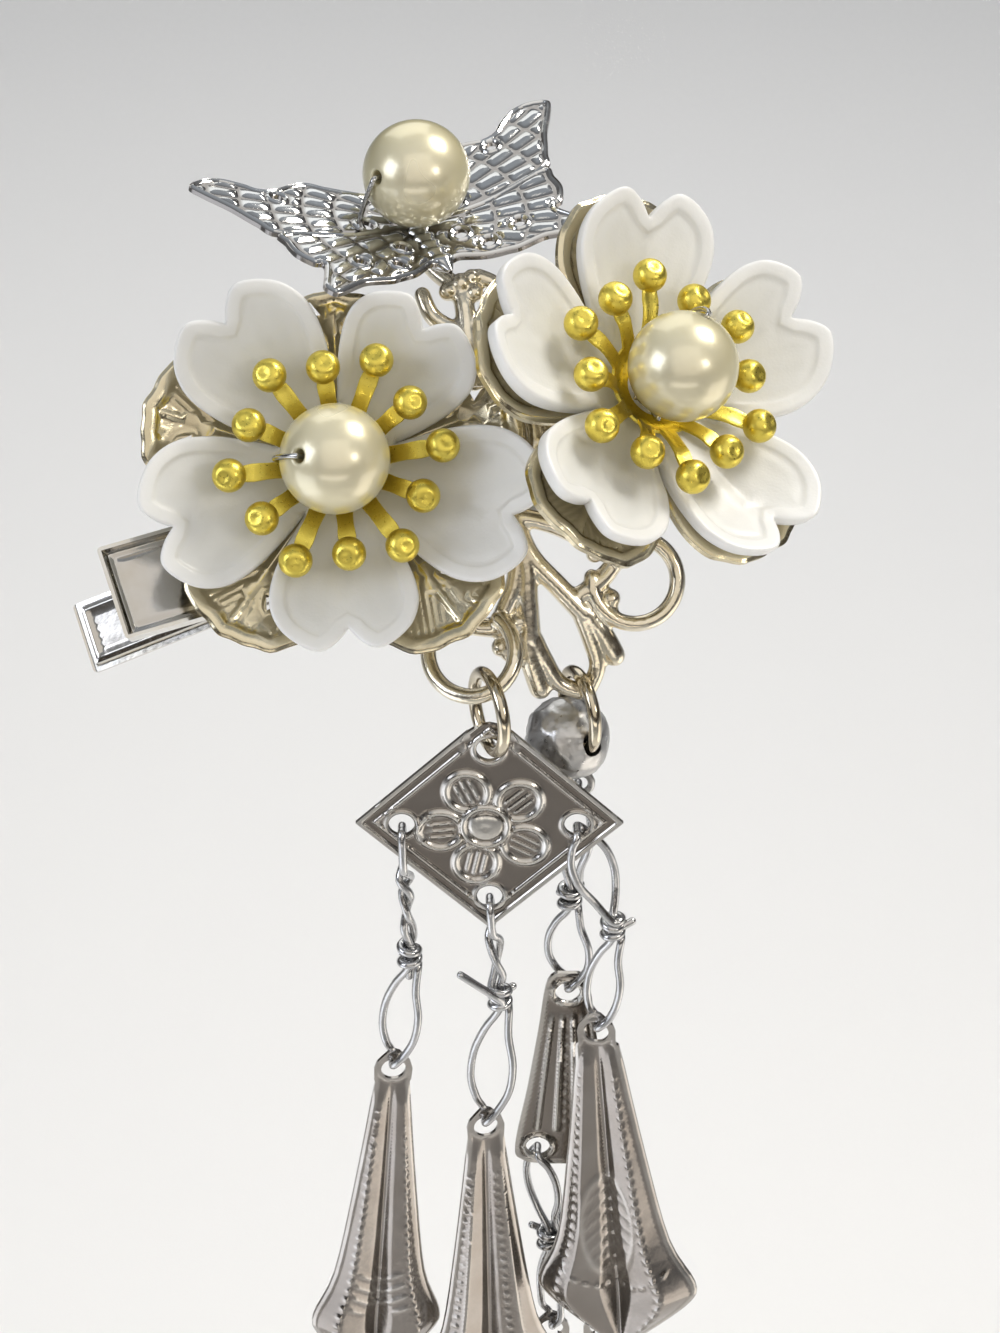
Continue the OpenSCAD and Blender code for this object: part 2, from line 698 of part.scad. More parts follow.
function about(mid, a, r, z) = [mid.x + r * sin(a), mid.y - r * cos(a), z];

// One strand from a hole to the knot: rows of share of the way, distance off the axis, angle
function strand(hole, knot, table, side) = [
  for (row = table)
    let (z = hole.z + (knot.z - hole.z) * row[0],
         mid = hole + (knot - hole) * row[0])
      about(mid, row[2] + side, row[1], z)
];

function wraps(knot, from, way) = [
  for (i = [1 : 9])
    let (t = i / 9)
      about(knot, from + 360 * wrap_turns * t, wrap_r, knot.z + way * (wrap_half - t * 0.9))
];

function reverse(p) = [for (i = [len(p) - 1 : -1 : 0]) p[i]];

// Rows for a twisted upper part, an open upper loop, and the lower loop
function twisted(start, turns) = [
  [0, 0.55, 0], [0.05, 0.85, 0.3 * start], [0.12, 0.95, start], [0.3, 0.9, start],
  [0.42, 0.5, start + 90 * turns / 3], [0.55, 0.38, start + 180 * turns / 3],
  [0.7, 0.38, start + 270 * turns / 3], [0.85, 0.38, start + 360 * turns / 3]
];
function opened(start, wide) = [
  [0, 0.55, 0], [0.05, 0.9, 0.3 * start], [0.14, 1.2, 0.8 * start], [0.32, wide, start],
  [0.55, wide, start], [0.78, wide * 0.6, start]
];

function link_route(above, above_r, knot, below, below_r, upper, lower, tails) =
  let (top = above - [0, 0, above_r - link_wire - 0.08],
       low = below + [0, 0, below_r - link_wire - 0.08],
       up_knot = knot + [0, 0, wrap_half],
       low_knot = knot - [0, 0, wrap_half],
       a_up = upper[len(upper) - 1][2] + 40,
       a_low = lower[len(lower) - 1][2] + 20,
       first = wraps(knot, a_up, 1),
       last = wraps(knot, a_low, -1))
    concat(
      [first[8] + tails[0]],
      reverse(first),
      [about(up_knot, a_up, wrap_r, up_knot.z)],
      reverse(strand(top, up_knot, upper, 0)),
      [top],
      strand(top, up_knot, upper, 180),
      [up_knot, low_knot],
      reverse(strand(low, low_knot, lower, 180)),
      [low],
      strand(low, low_knot, lower, 0),
      [about(low_knot, a_low, wrap_r, low_knot.z)],
      last,
      [last[8] + tails[1]]
    );

module wire_link(route) tube(route, link_wire, 6);

left_knot = [-8.6, front_pivot.y, -37.1];
middle_knot = [-1.5, front_pivot.y, -41.3];
right_knot = [7.3, front_pivot.y, -34.4];
rear_knot = [4, rear_pivot.y, -34.2];
drop_left_at = [-10.1, front_pivot.y, -48.4];
drop_middle_at = [-2.7, front_pivot.y, -54.4];
drop_right_at = [6.2, front_pivot.y, -44.6];
small_left_at = [3, rear_pivot.y, -80.5];
small_right_at = [7.3, rear_pivot.y, -80.5];

function plate_hole(h) = plate_mid + [h.x, 0, h.y];
function fan_hole(i) = fan_top + [fan_holes[i].x, 0, fan_holes[i].y];

module wire_link_left() color("#c3c4c6") wire_link(link_route(
  plate_hole([-side_hole.x, side_hole.y]), hole_r, left_knot, drop_left_at, hole_r,
  twisted(0, 4), opened(50, 1.7), [[0.9, -0.3, 0.5], [-0.3, -0.6, -2]]));

module wire_link_middle() color("#c3c4c6") wire_link(link_route(
  plate_hole(low_hole), hole_r, middle_knot, drop_middle_at, hole_r,
  twisted(0, 2), opened(60, 1.8), [[-3.2, -0.8, 3.2], [0.9, 0.5, 0.3]]));

module wire_link_right() color("#c3c4c6") wire_link(link_route(
  plate_hole(side_hole), hole_r, right_knot, drop_right_at, hole_r,
  opened(-50, 1.8), opened(50, 1.5), [[0.8, 0.3, 0.3], [-0.8, -0.3, 0.3]]));

module rear_link_top() color("#c3c4c6") wire_link(link_route(
  ball_eye, eye_r - eye_wire, rear_knot, fan_top, hole_r,
  opened(50, 1.5), opened(60, 1.8), [[0.9, 0.2, 0.4], [-0.9, -0.2, 0.2]]));

module rear_link_left() color("#c3c4c6") wire_link(link_route(
  fan_hole(0), hole_r, [2.6, rear_pivot.y, -70.2], small_left_at, hole_r,
  opened(50, 1.6), opened(50, 1.1), [[-1.4, -0.6, 1.2], [2.2, -0.4, 5.4]]));

module rear_link_right() color("#c3c4c6") wire_link(link_route(
  fan_hole(1), hole_r, [6.6, rear_pivot.y, -71.5], small_right_at, hole_r,
  opened(50, 1.3), opened(50, 1.1), [[3.6, -0.6, 1], [-0.8, 0.3, 0.3]]));

// Drops: thin pleated leaves below a tab with a hole. Columns are shares of the half width, and the
// depth of a fold there as a share of it, backwards from the front.
small_len = 13;
small_w = 2;
pleats = [[-1, 0.1], [-0.6, -0.2], [-0.2, -0.06], [0, 0.14], [0.2, -0.06], [0.6, -0.2], [1, 0.1]];
// Share of the length and of the half width, from the tab down to the point
drop_edge = [
  [0.04, 0.26], [0.1, 0.3], [0.37, 0.48], [0.65, 0.71], [0.79, 1], [0.85, 0.93], [0.93, 0.5], [1, 0.04]
];

module drop(length, half) {
  sheet_t = 0.5;
  grid = [
    for (row = drop_edge) [
      for (c = pleats)
        let (w = half * row[1])
          [w * c[0], w * c[1] * (row[0] > 0.1 ? 1 : 0.3), -length * row[0]]
    ]
  ];
  sheet([for (r = grid) [for (p = r) p - [0, sheet_t / 2, 0]]],
    [for (r = grid) [for (p = r) p + [0, sheet_t / 2, 0]]]);
  translate([0, 0.2, 0]) upright(0.4) difference() {
    union() {
      circle(r = hole_r + 0.6);
      translate([-1.2, -2.6]) square([2.4, 2.2]);
    }
    circle(r = hole_r);
  }
}

module leaf_drop_left() color("#b0b1b3") translate(drop_left_at) rotate([0, 4, 8])
  drop(drop_len, 0.93 * drop_w);

module leaf_drop_middle() color("#b0b1b3") translate(drop_middle_at) rotate([0, -1, 12])
  drop(drop_len, drop_w);

module leaf_drop_right() color("#b0b1b3") translate(drop_right_at) rotate([0, -4.5, -10])
  drop(drop_len, 1.15 * drop_w);

module small_drop_left() color("#b0b1b3") translate(small_left_at) drop(small_len, small_w);

module small_drop_right() color("#b0b1b3") translate(small_right_at) drop(small_len, small_w);

// The ball hangs on its jump ring, which runs through a slot that follows the ring
module silver_ball() color("#a9abad") difference() {
  slot_room = ring_wire + 0.4;
  union() {
    translate(ball_mid) sphere(r = ball_r);
    translate(ball_eye) rotate([90, 0, 0]) rotate_extrude($fn = 48)
      translate([eye_r, 0]) circle(r = eye_wire, $fn = 16);
  }
  translate(rear_pivot - [0, 0, ring_r - ring_hang]) rotate(ring_yaw) rotate([0, 90, 0]) difference() {
    cylinder(r = ring_r + slot_room, h = 2 * slot_room, center = true);
    cylinder(r = ring_r - slot_room, h = 3 * slot_room, center = true);
  }
}

module fan_plate() color("#9fa0a2") translate(fan_top + [0, 0.2, 0]) {
  fan = [
    [-1.6, 1.2], [-0.6, 1.9], [0.6, 1.9], [1.6, 1.2],
    [4.2, -16.4], [2.2, -18], [-2.2, -18], [-4.2, -16.4]
  ];
  difference() {
    union() {
      upright(0.4) polygon(fan);
      for (x = [-2.4, -0.8, 0.8, 2.4])
        upright(0.65) polygon([
          [x * 0.35 - 0.15, -2], [x * 0.35 + 0.15, -2], [x + 0.2, -14.6], [x - 0.2, -14.6]]);
    }
    translate([0, 1, 0]) upright(3) {
      circle(r = hole_r);
      for (h = fan_holes)
        translate(h) circle(r = hole_r);
    }
  }
}

clip_outer_jaw();
clip_inner_jaw();
clip_pin();
clip_spring();
filigree_base();
back_flower_left();
back_flower_right();
blossom_left();
blossom_right();
stamens_left();
stamens_right();
pearl_left();
pearl_right();
pearl_top();
pearl_wire_left();
pearl_wire_right();
pearl_wire_top();
butterfly();
jump_ring_front();
diamond_plate();
wire_link_left();
wire_link_middle();
wire_link_right();
leaf_drop_left();
leaf_drop_middle();
leaf_drop_right();
jump_ring_rear();
silver_ball();
rear_link_top();
fan_plate();
rear_link_left();
rear_link_right();
small_drop_left();
small_drop_right();
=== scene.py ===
"""Tassel hairpin: a sprung clip with a cast filigree base, two frosted blossoms, a stamped butterfly,
three pearls and two hanging strands of stamped aluminium leaves.

Sizes in the code are in millimetres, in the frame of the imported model, and become metres in solid().
"""
import math

import bmesh
import bpy
import numpy as np
from bpy.props import FloatProperty, FloatVectorProperty, PointerProperty
from mathutils import Matrix, Vector, geometry, noise


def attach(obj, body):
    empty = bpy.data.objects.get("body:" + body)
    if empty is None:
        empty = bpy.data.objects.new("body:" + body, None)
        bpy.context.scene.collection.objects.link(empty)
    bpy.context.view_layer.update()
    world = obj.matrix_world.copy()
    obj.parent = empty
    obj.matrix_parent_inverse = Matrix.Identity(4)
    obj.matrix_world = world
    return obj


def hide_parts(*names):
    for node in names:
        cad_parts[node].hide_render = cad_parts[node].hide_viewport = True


bl_info = {
    "name": "Tassel hairpin",
    "version": (1, 0, 0),
    "blender": (4, 5, 0),
    "location": "View3D > Sidebar > Hairpin",
    "description": "Builds a tassel hairpin with blossoms, pearls, a butterfly and hanging metal leaves",
    "category": "Add Mesh",
}

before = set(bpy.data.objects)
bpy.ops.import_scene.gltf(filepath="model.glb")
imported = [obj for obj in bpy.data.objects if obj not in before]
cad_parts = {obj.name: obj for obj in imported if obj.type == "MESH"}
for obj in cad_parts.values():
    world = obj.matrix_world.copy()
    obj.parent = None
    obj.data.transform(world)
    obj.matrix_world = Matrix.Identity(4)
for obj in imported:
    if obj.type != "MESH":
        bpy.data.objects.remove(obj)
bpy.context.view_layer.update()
FINE = 1.0  # how much wider than full the mesh is spaced

MM = 0.001
FACE_TILT = 32
BASE_AT = (-3.4, 2.2)
LEFT_AT = (-13.35, 0.1, 3.6)
RIGHT_AT = (8.25, 4.5, 5.5)
FLY_AT = (-8, 9.6, 15.2)
RING_R, RING_WIRE, RING_HANG, RING_YAW = 3.0, 0.5, 1.3, 22
RING_SWING, RING_ROOM = 30, 0.05
RING_WAY, RING_FACING = (
    (math.cos(math.radians(a)), math.sin(math.radians(a)), 0) for a in (RING_YAW, RING_YAW + 90))


# Colours and materials


def srgb(text):
    """A linear RGBA colour from an sRGB hex value"""
    parts = [int(text[i:i + 2], 16) / 255 for i in (0, 2, 4)]
    return tuple(c / 12.92 if c <= 0.04045 else ((c + 0.055) / 1.055) ** 2.4 for c in parts) + (1,)


def feed(node, inputs):
    """Sets a node's values, and links the sockets that feed it"""
    for key, value in inputs.items():
        if isinstance(value, bpy.types.NodeSocket):
            node.id_data.links.new(value, node.inputs[key])
        else:
            node.inputs[key].default_value = value


def add_node(tree, kind, inputs=(), **settings):
    """Adds a node, with its settings, its values and its links"""
    made = tree.nodes.new(kind)
    for key, value in settings.items():
        setattr(made, key, value)
    feed(made, dict(inputs))
    return made


def bare_material(name):
    """An empty node material with its principled shader and object coordinates"""
    made = bpy.data.materials.new(name)
    made.use_nodes = True
    tree = made.node_tree
    tree.nodes.clear()
    shader = add_node(tree, "ShaderNodeBsdfPrincipled")
    add_node(tree, "ShaderNodeOutputMaterial", {"Surface": shader.outputs["BSDF"]})
    return made, tree, shader, add_node(tree, "ShaderNodeTexCoord").outputs["Object"]


def surfaced(tree, gloss_by, shares, rough, slow, fine):
    """The roughness between two limits, as a noise goes from one share to another, and the normal under a
    slow and a fine unevenness, each given as its noise and its depth in mm"""
    gloss = add_node(tree, "ShaderNodeMapRange", {
        "Value": gloss_by, "From Min": shares[0], "From Max": shares[1],
        "To Min": rough[0], "To Max": rough[1]})
    skin = {"Roughness": gloss.outputs[0]}
    for height, depth in (slow, fine):
        under = {"Normal": skin["Normal"]} if "Normal" in skin else {}
        skin["Normal"] = add_node(tree, "ShaderNodeBump", {
            "Height": height, "Distance": depth * MM, "Strength": 1.0, **under}).outputs[0]
    return skin


def tinted(colour, shares):
    """A colour with its three channels scaled"""
    return tuple(c * k for c, k in zip(colour, shares + (1,)))


DRIFT_MM = 4


def plated_metal(name, colour, worn, rough, grain_mm, grain_depth, wave_mm=2.5, wave_depth=0.02, hollow=0.45):
    """A plated or bare metal: its tone drifts, painted shade darkens its low places, and its surface has a
    grain and the slow unevenness that pressing or casting leaves"""
    made, tree, shader, where = bare_material(name)
    drift, grain, waves = (
        add_node(tree, "ShaderNodeTexNoise", {
            "Vector": where, "Scale": 1 / (size * MM), "Detail": detail}).outputs["Fac"]
        for size, detail in ((DRIFT_MM, 3.0), (grain_mm, 2.0), (wave_mm, 1.0)))
    # Painted shade: the low attribute, times hollow, darkens each low place towards a dark brown of the
    # colour
    relief = add_node(tree, "ShaderNodeAttribute", attribute_name="low")
    painted_shade = add_node(tree, "ShaderNodeMath", {0: relief.outputs["Fac"], 1: hollow}, operation="MULTIPLY")
    tone = colour
    # The drift mixes in the worn colour, then the painted shade mixes in the colour scaled to 0.3, 0.26 and
    # 0.23
    for share, other in ((drift, worn), (painted_shade.outputs[0], tinted(colour, (0.3, 0.26, 0.23)))):
        tone = add_node(tree, "ShaderNodeMix", {0: share, 6: tone, 7: other}, data_type="RGBA").outputs[2]
    feed(shader, {"Base Color": tone, "Metallic": 1, **surfaced(
        tree, grain, (0.3, 0.7), (rough * 0.75, rough * 1.35), (waves, wave_depth), (grain, grain_depth))})
    return made


def frosted_resin(colour):
    """Moulded translucent resin with a frosted face: painted light keeps its edges whiter, painted shade
    greys the inside of each petal, and it is faintly cloudy, with soft gloss on its curves"""
    made, tree, shader, where = bare_material("frosted_resin")
    cloud, frost = (
        add_node(tree, "ShaderNodeTexNoise", {
            "Vector": where, "Scale": 1 / (size * MM), "Detail": detail}).outputs["Fac"]
        for size, detail in ((2.4, 5.0), (0.22, 3.0)))
    painted_inner_shade = add_node(tree, "ShaderNodeAttribute", attribute_name="low")
    tone = add_node(tree, "ShaderNodeMix", {
        0: cloud, 6: tinted(colour, (0.93, 0.92, 0.9)), 7: colour}, data_type="RGBA")
    # Painted shade: clear is the greyer tone that the low attribute mixes in inside each petal, through
    # depth, and the whiter edges are painted light
    clear = tinted(colour, (0.87, 0.865, 0.845))
    depth = add_node(tree, "ShaderNodeMix", {
        0: painted_inner_shade.outputs["Fac"], 6: tone.outputs[2], 7: clear}, data_type="RGBA")
    feed(shader, {
        "Base Color": depth.outputs[2], "IOR": 1.49, "Transmission Weight": 0.12,
        "Subsurface Weight": 0.7, "Subsurface Radius": (1.0, 0.97, 0.94), "Subsurface Scale": 1.5 * MM,
        "Coat Weight": 0.3, "Coat Roughness": 0.16,
        **surfaced(tree, cloud, (0.35, 0.65), (0.38, 0.55), (cloud, 0.06), (frost, 0.014))})
    return made


def pearl_lacquer(colour):
    """Pearl lacquer over a moulded bead: a deep soft gloss, a cream body and painted shade, a dull
    yellow-green, towards the edge
    """
    made, tree, shader, where = bare_material("pearl_lacquer")
    drift = add_node(tree, "ShaderNodeTexNoise", {"Vector": where, "Scale": 1 / (5 * MM), "Detail": 1.0})
    # Painted shade: the facing of the layer weight darkens the bead where its surface turns away from the
    # viewer
    rim = add_node(tree, "ShaderNodeLayerWeight", {"Blend": 0.4})
    tone = add_node(tree, "ShaderNodeMix", {
        0: drift.outputs["Fac"], 6: colour, 7: tinted(colour, (0.97, 0.96, 0.9))}, data_type="RGBA")
    painted_edge_shade = tinted(colour, (0.79, 0.77, 0.57))
    edge = add_node(tree, "ShaderNodeMix", {
        0: rim.outputs["Facing"], 6: tone.outputs[2], 7: painted_edge_shade}, data_type="RGBA")
    gloss = add_node(tree, "ShaderNodeMapRange", {
        "Value": drift.outputs["Fac"], "From Min": 0.3, "From Max": 0.7, "To Min": 0.27, "To Max": 0.31})
    feed(shader, {
        "Base Color": edge.outputs[2], "Roughness": gloss.outputs[0], "Metallic": 0.35, "IOR": 1.53,
        "Subsurface Weight": 0.3, "Subsurface Radius": (1.0, 0.95, 0.8), "Subsurface Scale": 1.2 * MM,
        "Coat Weight": 0.8, "Coat Roughness": 0.05, "Coat IOR": 1.55})
    return made


# Each metal: its name, its slot in the record, its colour, its worn colour, its roughness, the width and
# depth of its grain and, where they aren't the usual ones, those of its waves and how much painted shade
# darkens its hollows
METALS = (
    # Nickel plate on pressed sheet: bright and smooth, with the faint waviness of pressing
    ("nickel_plate", "nickel_plated_steel", "chrome", "c4bba9", 0.14, 0.35, 0.003),
    # Drawn steel wire: a little duller, with fine lengthwise marks
    ("spring_steel", "steel_wire", "b4b2ae", "8f8c86", 0.28, 0.15, 0.006),
    # Cast alloy under pale gold plate: soft edges, a bright skin and a slightly lumpy surface
    ("cast_pale_gold", "pale_gold_cast_alloy", "ebe7dc", "d9cba8", 0.2, 0.5, 0.012, 1.6, 0.04),
    # Champagne plate on stamped sheet: satin, warm, with painted shade in its grooves
    ("champagne_plate", "champagne_stamped_brass", "pale_plate", "cdc09a", 0.2, 0.3, 0.003, 3, 0.03, 0.35),
    # Yellow gold plate over a blasted skin: even and silky with a fine sandy grain
    ("matte_gold", "yellow_gold_plated_brass", "stamen_gold", "e0cf62", 0.34, 0.14, 0.01, 1.2, 0.03),
    # Bright plate on a deeply stamped sheet: mirror-like cells with painted shade in the hollows between them
    ("stamped_chrome", "bright_stamped_chrome", "chrome", "c8c8c4", 0.12, 0.4, 0.002, 3, 0.015, 0.8),
    # Plated ring wire: smooth, with a warm cast
    ("ring_plate", "pale_gold_ring_wire", "d9d4c8", "bfae8a", 0.13, 0.3, 0.003),
    # Thin stamped aluminium: grey, softly brushed, with a slow oil-canning wave and strong painted shade in
    # its low field
    ("stamped_aluminium", "stamped_aluminium", "aluminium", "b9b3a9", 0.2, 0.2, 0.004, 4, 0.06, 0.9),
    # Drawn soft aluminium wire: bright, with small dents from the winding
    ("aluminium_wire", "aluminium_wire", "cdced0", "aeadab", 0.2, 0.4, 0.02, 1.2, 0.05),
    # Pleated aluminium leaf: thin and glossy, so that it bends its reflections, with painted shade in its low
    # places
    ("leaf_aluminium", "pleated_aluminium_foil", "c2c0bd", "9c948b", 0.18, 0.25, 0.003, 3.5, 0.09, 0.55),
    # Hollow aluminium ball, hammered: dull facets
    ("hammered_aluminium", "crumpled_aluminium_ball", "d6d6d6", "b3b1ad", 0.34, 0.5, 0.03, 1.2, 0.12, 0.5),
    # Thin silvery craft wire: smooth and bright, with faint drawing marks
    ("craft_wire", "silver_craft_wire", "cfcfcf", "a9a8a4", 0.18, 0.2, 0.004))
MATERIALS = {}


def make_materials(colours):
    """All of the hairpin's materials, each with its slot"""
    for name, slot, tone, worn, *surface in METALS:
        colour = tuple(getattr(colours, tone)) + (1,) if hasattr(colours, tone) else srgb(tone)
        MATERIALS[name] = plated_metal(name, colour, srgb(worn), *surface), slot
    MATERIALS["frosted_resin"] = frosted_resin(tuple(colours.petal_white) + (1,)), "frosted_resin"
    MATERIALS["pearl_lacquer"] = pearl_lacquer(tuple(colours.pearl_cream) + (1,)), "pearl_coated_bead"


# Places


def turned(x=0, y=0, z=0, at=(0, 0, 0)):
    """The matrix of turns about x, then y, then z, in degrees, then a move"""
    rx, ry, rz = (Matrix.Rotation(math.radians(a), 4, axis) for a, axis in ((x, "X"), (y, "Y"), (z, "Z")))
    return Matrix.Translation(at) @ rz @ ry @ rx


FACE = turned(x=90 - FACE_TILT)
PAD = turned(z=19) @ turned(x=-9) @ turned(at=(0, 0, -0.57))
CLIP = FACE @ PAD
LEFT = FACE @ turned(at=LEFT_AT)
RIGHT = FACE @ turned(at=RIGHT_AT) @ turned(z=33) @ turned(y=34) @ turned(z=-33)
FLY = turned(11, -2, 28, FLY_AT)
MIRROR_X, MIRROR_Y = (Matrix.Scale(-1, 4, way) for way in ((1, 0, 0), (0, 1, 0)))


def placed(points, matrix):
    """Points under a matrix"""
    m = np.array(matrix)
    return np.asarray(points, float) @ m[:3, :3].T + m[:3, 3]


def swung(point, degree, way):
    """The matrix of a turn about an axis through a point"""
    point = Vector(point)
    turn = Matrix.Rotation(math.radians(degree), 4, Vector(way))
    return Matrix.Translation(point) @ turn @ Matrix.Translation(-point)


def hung(pivot):
    """The frame of a jump ring that hangs from a pivot; the ring lies about its z"""
    return turned(at=pivot - (0, 0, RING_R - RING_HANG)) @ turned(z=RING_YAW) @ turned(y=90)


# Shapes: each is a tuple of points, faces and the painted shade at each point, from 0 to 1


def join(*shapes):
    """One shape out of several"""
    points, faces, low, start = [], [], [], 0
    for p, f, d in shapes:
        points.append(np.asarray(p, float))
        faces.extend([[i + start for i in face] for face in f])
        low.append(np.broadcast_to(np.asarray(d, float), len(p)))
        start += len(p)
    return np.concatenate(points), faces, np.concatenate(low)


def moved(shape, matrix):
    """A shape under a matrix"""
    flip = matrix.to_3x3().determinant() < 0
    return placed(shape[0], matrix), [f[::-1] for f in shape[1]] if flip else shape[1], shape[2]


def solid(name, shape, finish, node, body="ornament", crease=38):
    """Makes the object that stands for a node, smooth but for edges sharper than crease degrees"""
    points, faces, low = shape
    mesh = bpy.data.meshes.new(name)
    mesh.from_pydata((np.asarray(points) * MM).tolist(), [], faces)
    mesh.validate()
    work = bmesh.new()
    work.from_mesh(mesh)
    bmesh.ops.recalc_face_normals(work, faces=work.faces)
    work.to_mesh(mesh)
    work.free()
    mesh.polygons.foreach_set("use_smooth", [True] * len(mesh.polygons))
    mesh.set_sharp_from_angle(angle=math.radians(crease))
    # The low attribute carries each point's painted shade to the material
    if len(mesh.vertices) == len(points):
        mesh.attributes.new("low", "FLOAT", "POINT").data.foreach_set(
            "value", np.broadcast_to(low, len(points)).astype(np.float32))
    material, slot = MATERIALS[finish]
    mesh.materials.append(material)
    made = linked(name, mesh)
    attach(made, body)
    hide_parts(node)


def linked(name, data):
    """A new object in the scene"""
    made = bpy.data.objects.new(name, data)
    bpy.context.scene.collection.objects.link(made)
    return made


def smooth_route(points, steps):
    """A smooth route through control points of any number of columns"""
    p = np.asarray(points, float)
    rows = []
    for i in range(len(p) - 1):
        a, b, c, d = p[max(i - 1, 0)], p[i], p[i + 1], p[min(i + 2, len(p) - 1)]
        for k in range(steps):
            t = k / steps
            rows.append(0.5 * (2 * b + (c - a) * t + (2 * a - 5 * b + 4 * c - d) * t * t
                               + (3 * b - a - 3 * c + d) * t ** 3))
    rows.append(p[-1])
    return np.array(rows)


def banded(rows, sides, closed=False):
    """The faces of rows of points in rings, closed on itself or capped at both ends"""
    faces = [[i * sides + k, i * sides + (k + 1) % sides, j * sides + (k + 1) % sides, j * sides + k]
             for i in range(rows if closed else rows - 1) for j in [(i + 1) % rows] for k in range(sides)]
    ends = [list(range(sides))[::-1], list(range((rows - 1) * sides, rows * sides))]
    return faces if closed else faces + ends


def around(sides):
    """The angles of the points of a ring, in radians"""
    return np.linspace(0, 2 * math.pi, sides, endpoint=False)


def tube(route, radii, sides=12, round_ends=True):
    """A round tube along a route, with a radius at each point, and round or flat ends"""
    p = np.asarray(route, float)
    keep = [0] + [i for i in range(1, len(p)) if np.linalg.norm(p[i] - p[i - 1]) > 1e-3]
    p, r = p[keep], np.broadcast_to(np.asarray(radii, float), len(p))[keep]
    t = np.gradient(p, axis=0)
    t /= np.linalg.norm(t, axis=1)[:, None]
    side = np.cross(t[0], (0, 0, 1) if abs(t[0][2]) < 0.9 else (1, 0, 0))
    rows = []
    for middle, size, along in zip(p, r, t):
        side = side - side.dot(along) * along
        side /= np.linalg.norm(side)
        rows.append((middle, size, along, side))
    if round_ends:
        first, last = (
            [(m + way * along * size * math.cos(a), size * math.sin(a), along, s)
             for a in np.radians((15, 40, 65))]
            for way, (m, size, along, s) in ((-1, rows[0]), (1, rows[-1])))
        rows = first + rows + last[::-1]
    turn = around(sides)[:, None]
    points = np.concatenate([m + size * (np.cos(turn) * s + np.sin(turn) * np.cross(along, s))
                             for m, size, along, s in rows])
    return points, banded(len(rows), sides), 0.0


def lathe(profile, sides=48):
    """A closed shape turned about z from a profile of radius and height rows, closed on itself"""
    turn = around(sides)
    points = [np.column_stack((r * np.cos(turn), r * np.sin(turn), np.full(sides, z))) for r, z in profile]
    return np.concatenate(points), banded(len(profile), sides, True), 0.0


def ball(radius, centre=(0, 0, 0), sides=24):
    """A smooth ball"""
    lift, turn = np.radians(np.linspace(-90, 90, sides // 2 + 1))[1:-1], around(sides)
    rings = [np.column_stack((
        math.cos(a) * np.cos(turn), math.cos(a) * np.sin(turn), np.full(sides, math.sin(a)))) for a in lift]
    points = np.concatenate(rings + [[(0, 0, -1), (0, 0, 1)]]) * radius + np.asarray(centre)
    n = len(rings)
    faces = banded(n, sides)[:-2]
    for k in range(sides):
        j = (k + 1) % sides
        faces += [[n * sides, j, k], [n * sides + 1, (n - 1) * sides + k, (n - 1) * sides + j]]
    return points, faces, 0.0


def ring(radius, wire, sweep=(0, 360), sides=16, steps=72):
    """A wire ring about z, or an arc of one, with flat ends"""
    a = np.radians(np.linspace(sweep[0], sweep[1], steps))
    route = np.column_stack((radius * np.cos(a), radius * np.sin(a), 0 * a))
    return tube(route, wire, sides, round_ends=False)


def even(loop, step):
    """A closed outline with points about step apart"""
    loop = np.asarray(loop, float)
    out = []
    for a, b in zip(loop, np.roll(loop, -1, axis=0)):
        n = max(1, int(round(np.linalg.norm(b - a) / step)))
        out.extend(a + (b - a) * k / n for k in range(n))
    return np.array(out)


def rounded(loop, steps=6):
    """A closed outline made smooth through its points"""
    loop = np.asarray(loop, float)
    n = len(loop)
    ring_of = np.concatenate((loop[-2:], loop, loop[:2]))
    return smooth_route(ring_of, steps)[2 * steps:(n + 2) * steps]


def round_loop(centre, radius, count=28):
    """The outline of a round hole or boss"""
    a = around(count)
    return np.column_stack((centre[0] + radius * np.cos(a), centre[1] + radius * np.sin(a)))


def inside(points, loops):
    """Which points lie inside the outline and outside its holes"""
    hit = np.zeros(len(points), bool)
    x, y = points[:, 0][:, None], points[:, 1][:, None]
    for loop in loops:
        a, b = loop, np.roll(loop, -1, axis=0)
        dy = np.where(np.abs(b[:, 1] - a[:, 1]) < 1e-12, 1e-12, b[:, 1] - a[:, 1])
        cross = ((a[:, 1] > y) != (b[:, 1] > y)) & (x < (b[:, 0] - a[:, 0]) * (y - a[:, 1]) / dy + a[:, 0])
        hit ^= cross.sum(axis=1) % 2 == 1
    return hit


def edge_gap(points, loops):
    """How far each point lies from the nearest outline"""
    best = np.full(len(points), 1e9)
    for loop in loops:
        a, d = loop, np.roll(loop, -1, axis=0) - loop
        size = np.maximum((d ** 2).sum(1), 1e-12)
        for part in range(0, len(points), 4000):
            p = points[part:part + 4000]
            rel = p[:, None] - a[None]
            t = np.clip((rel * d[None]).sum(2) / size, 0, 1)
            gap = np.sqrt(((rel - t[..., None] * d[None]) ** 2).sum(2)).min(1)
            best[part:part + 4000] = np.minimum(best[part:part + 4000], gap)
    return best


def step_up(x, low, high):
    """A smooth rise from 0 at low to 1 at high"""
    t = np.clip((x - low) / (high - low), 0, 1)
    return t * t * (3 - 2 * t)


def bump(x, middle, half):
    """A smooth ridge of height 1 about a middle line"""
    return step_up(half - np.abs(x - middle), 0, half)


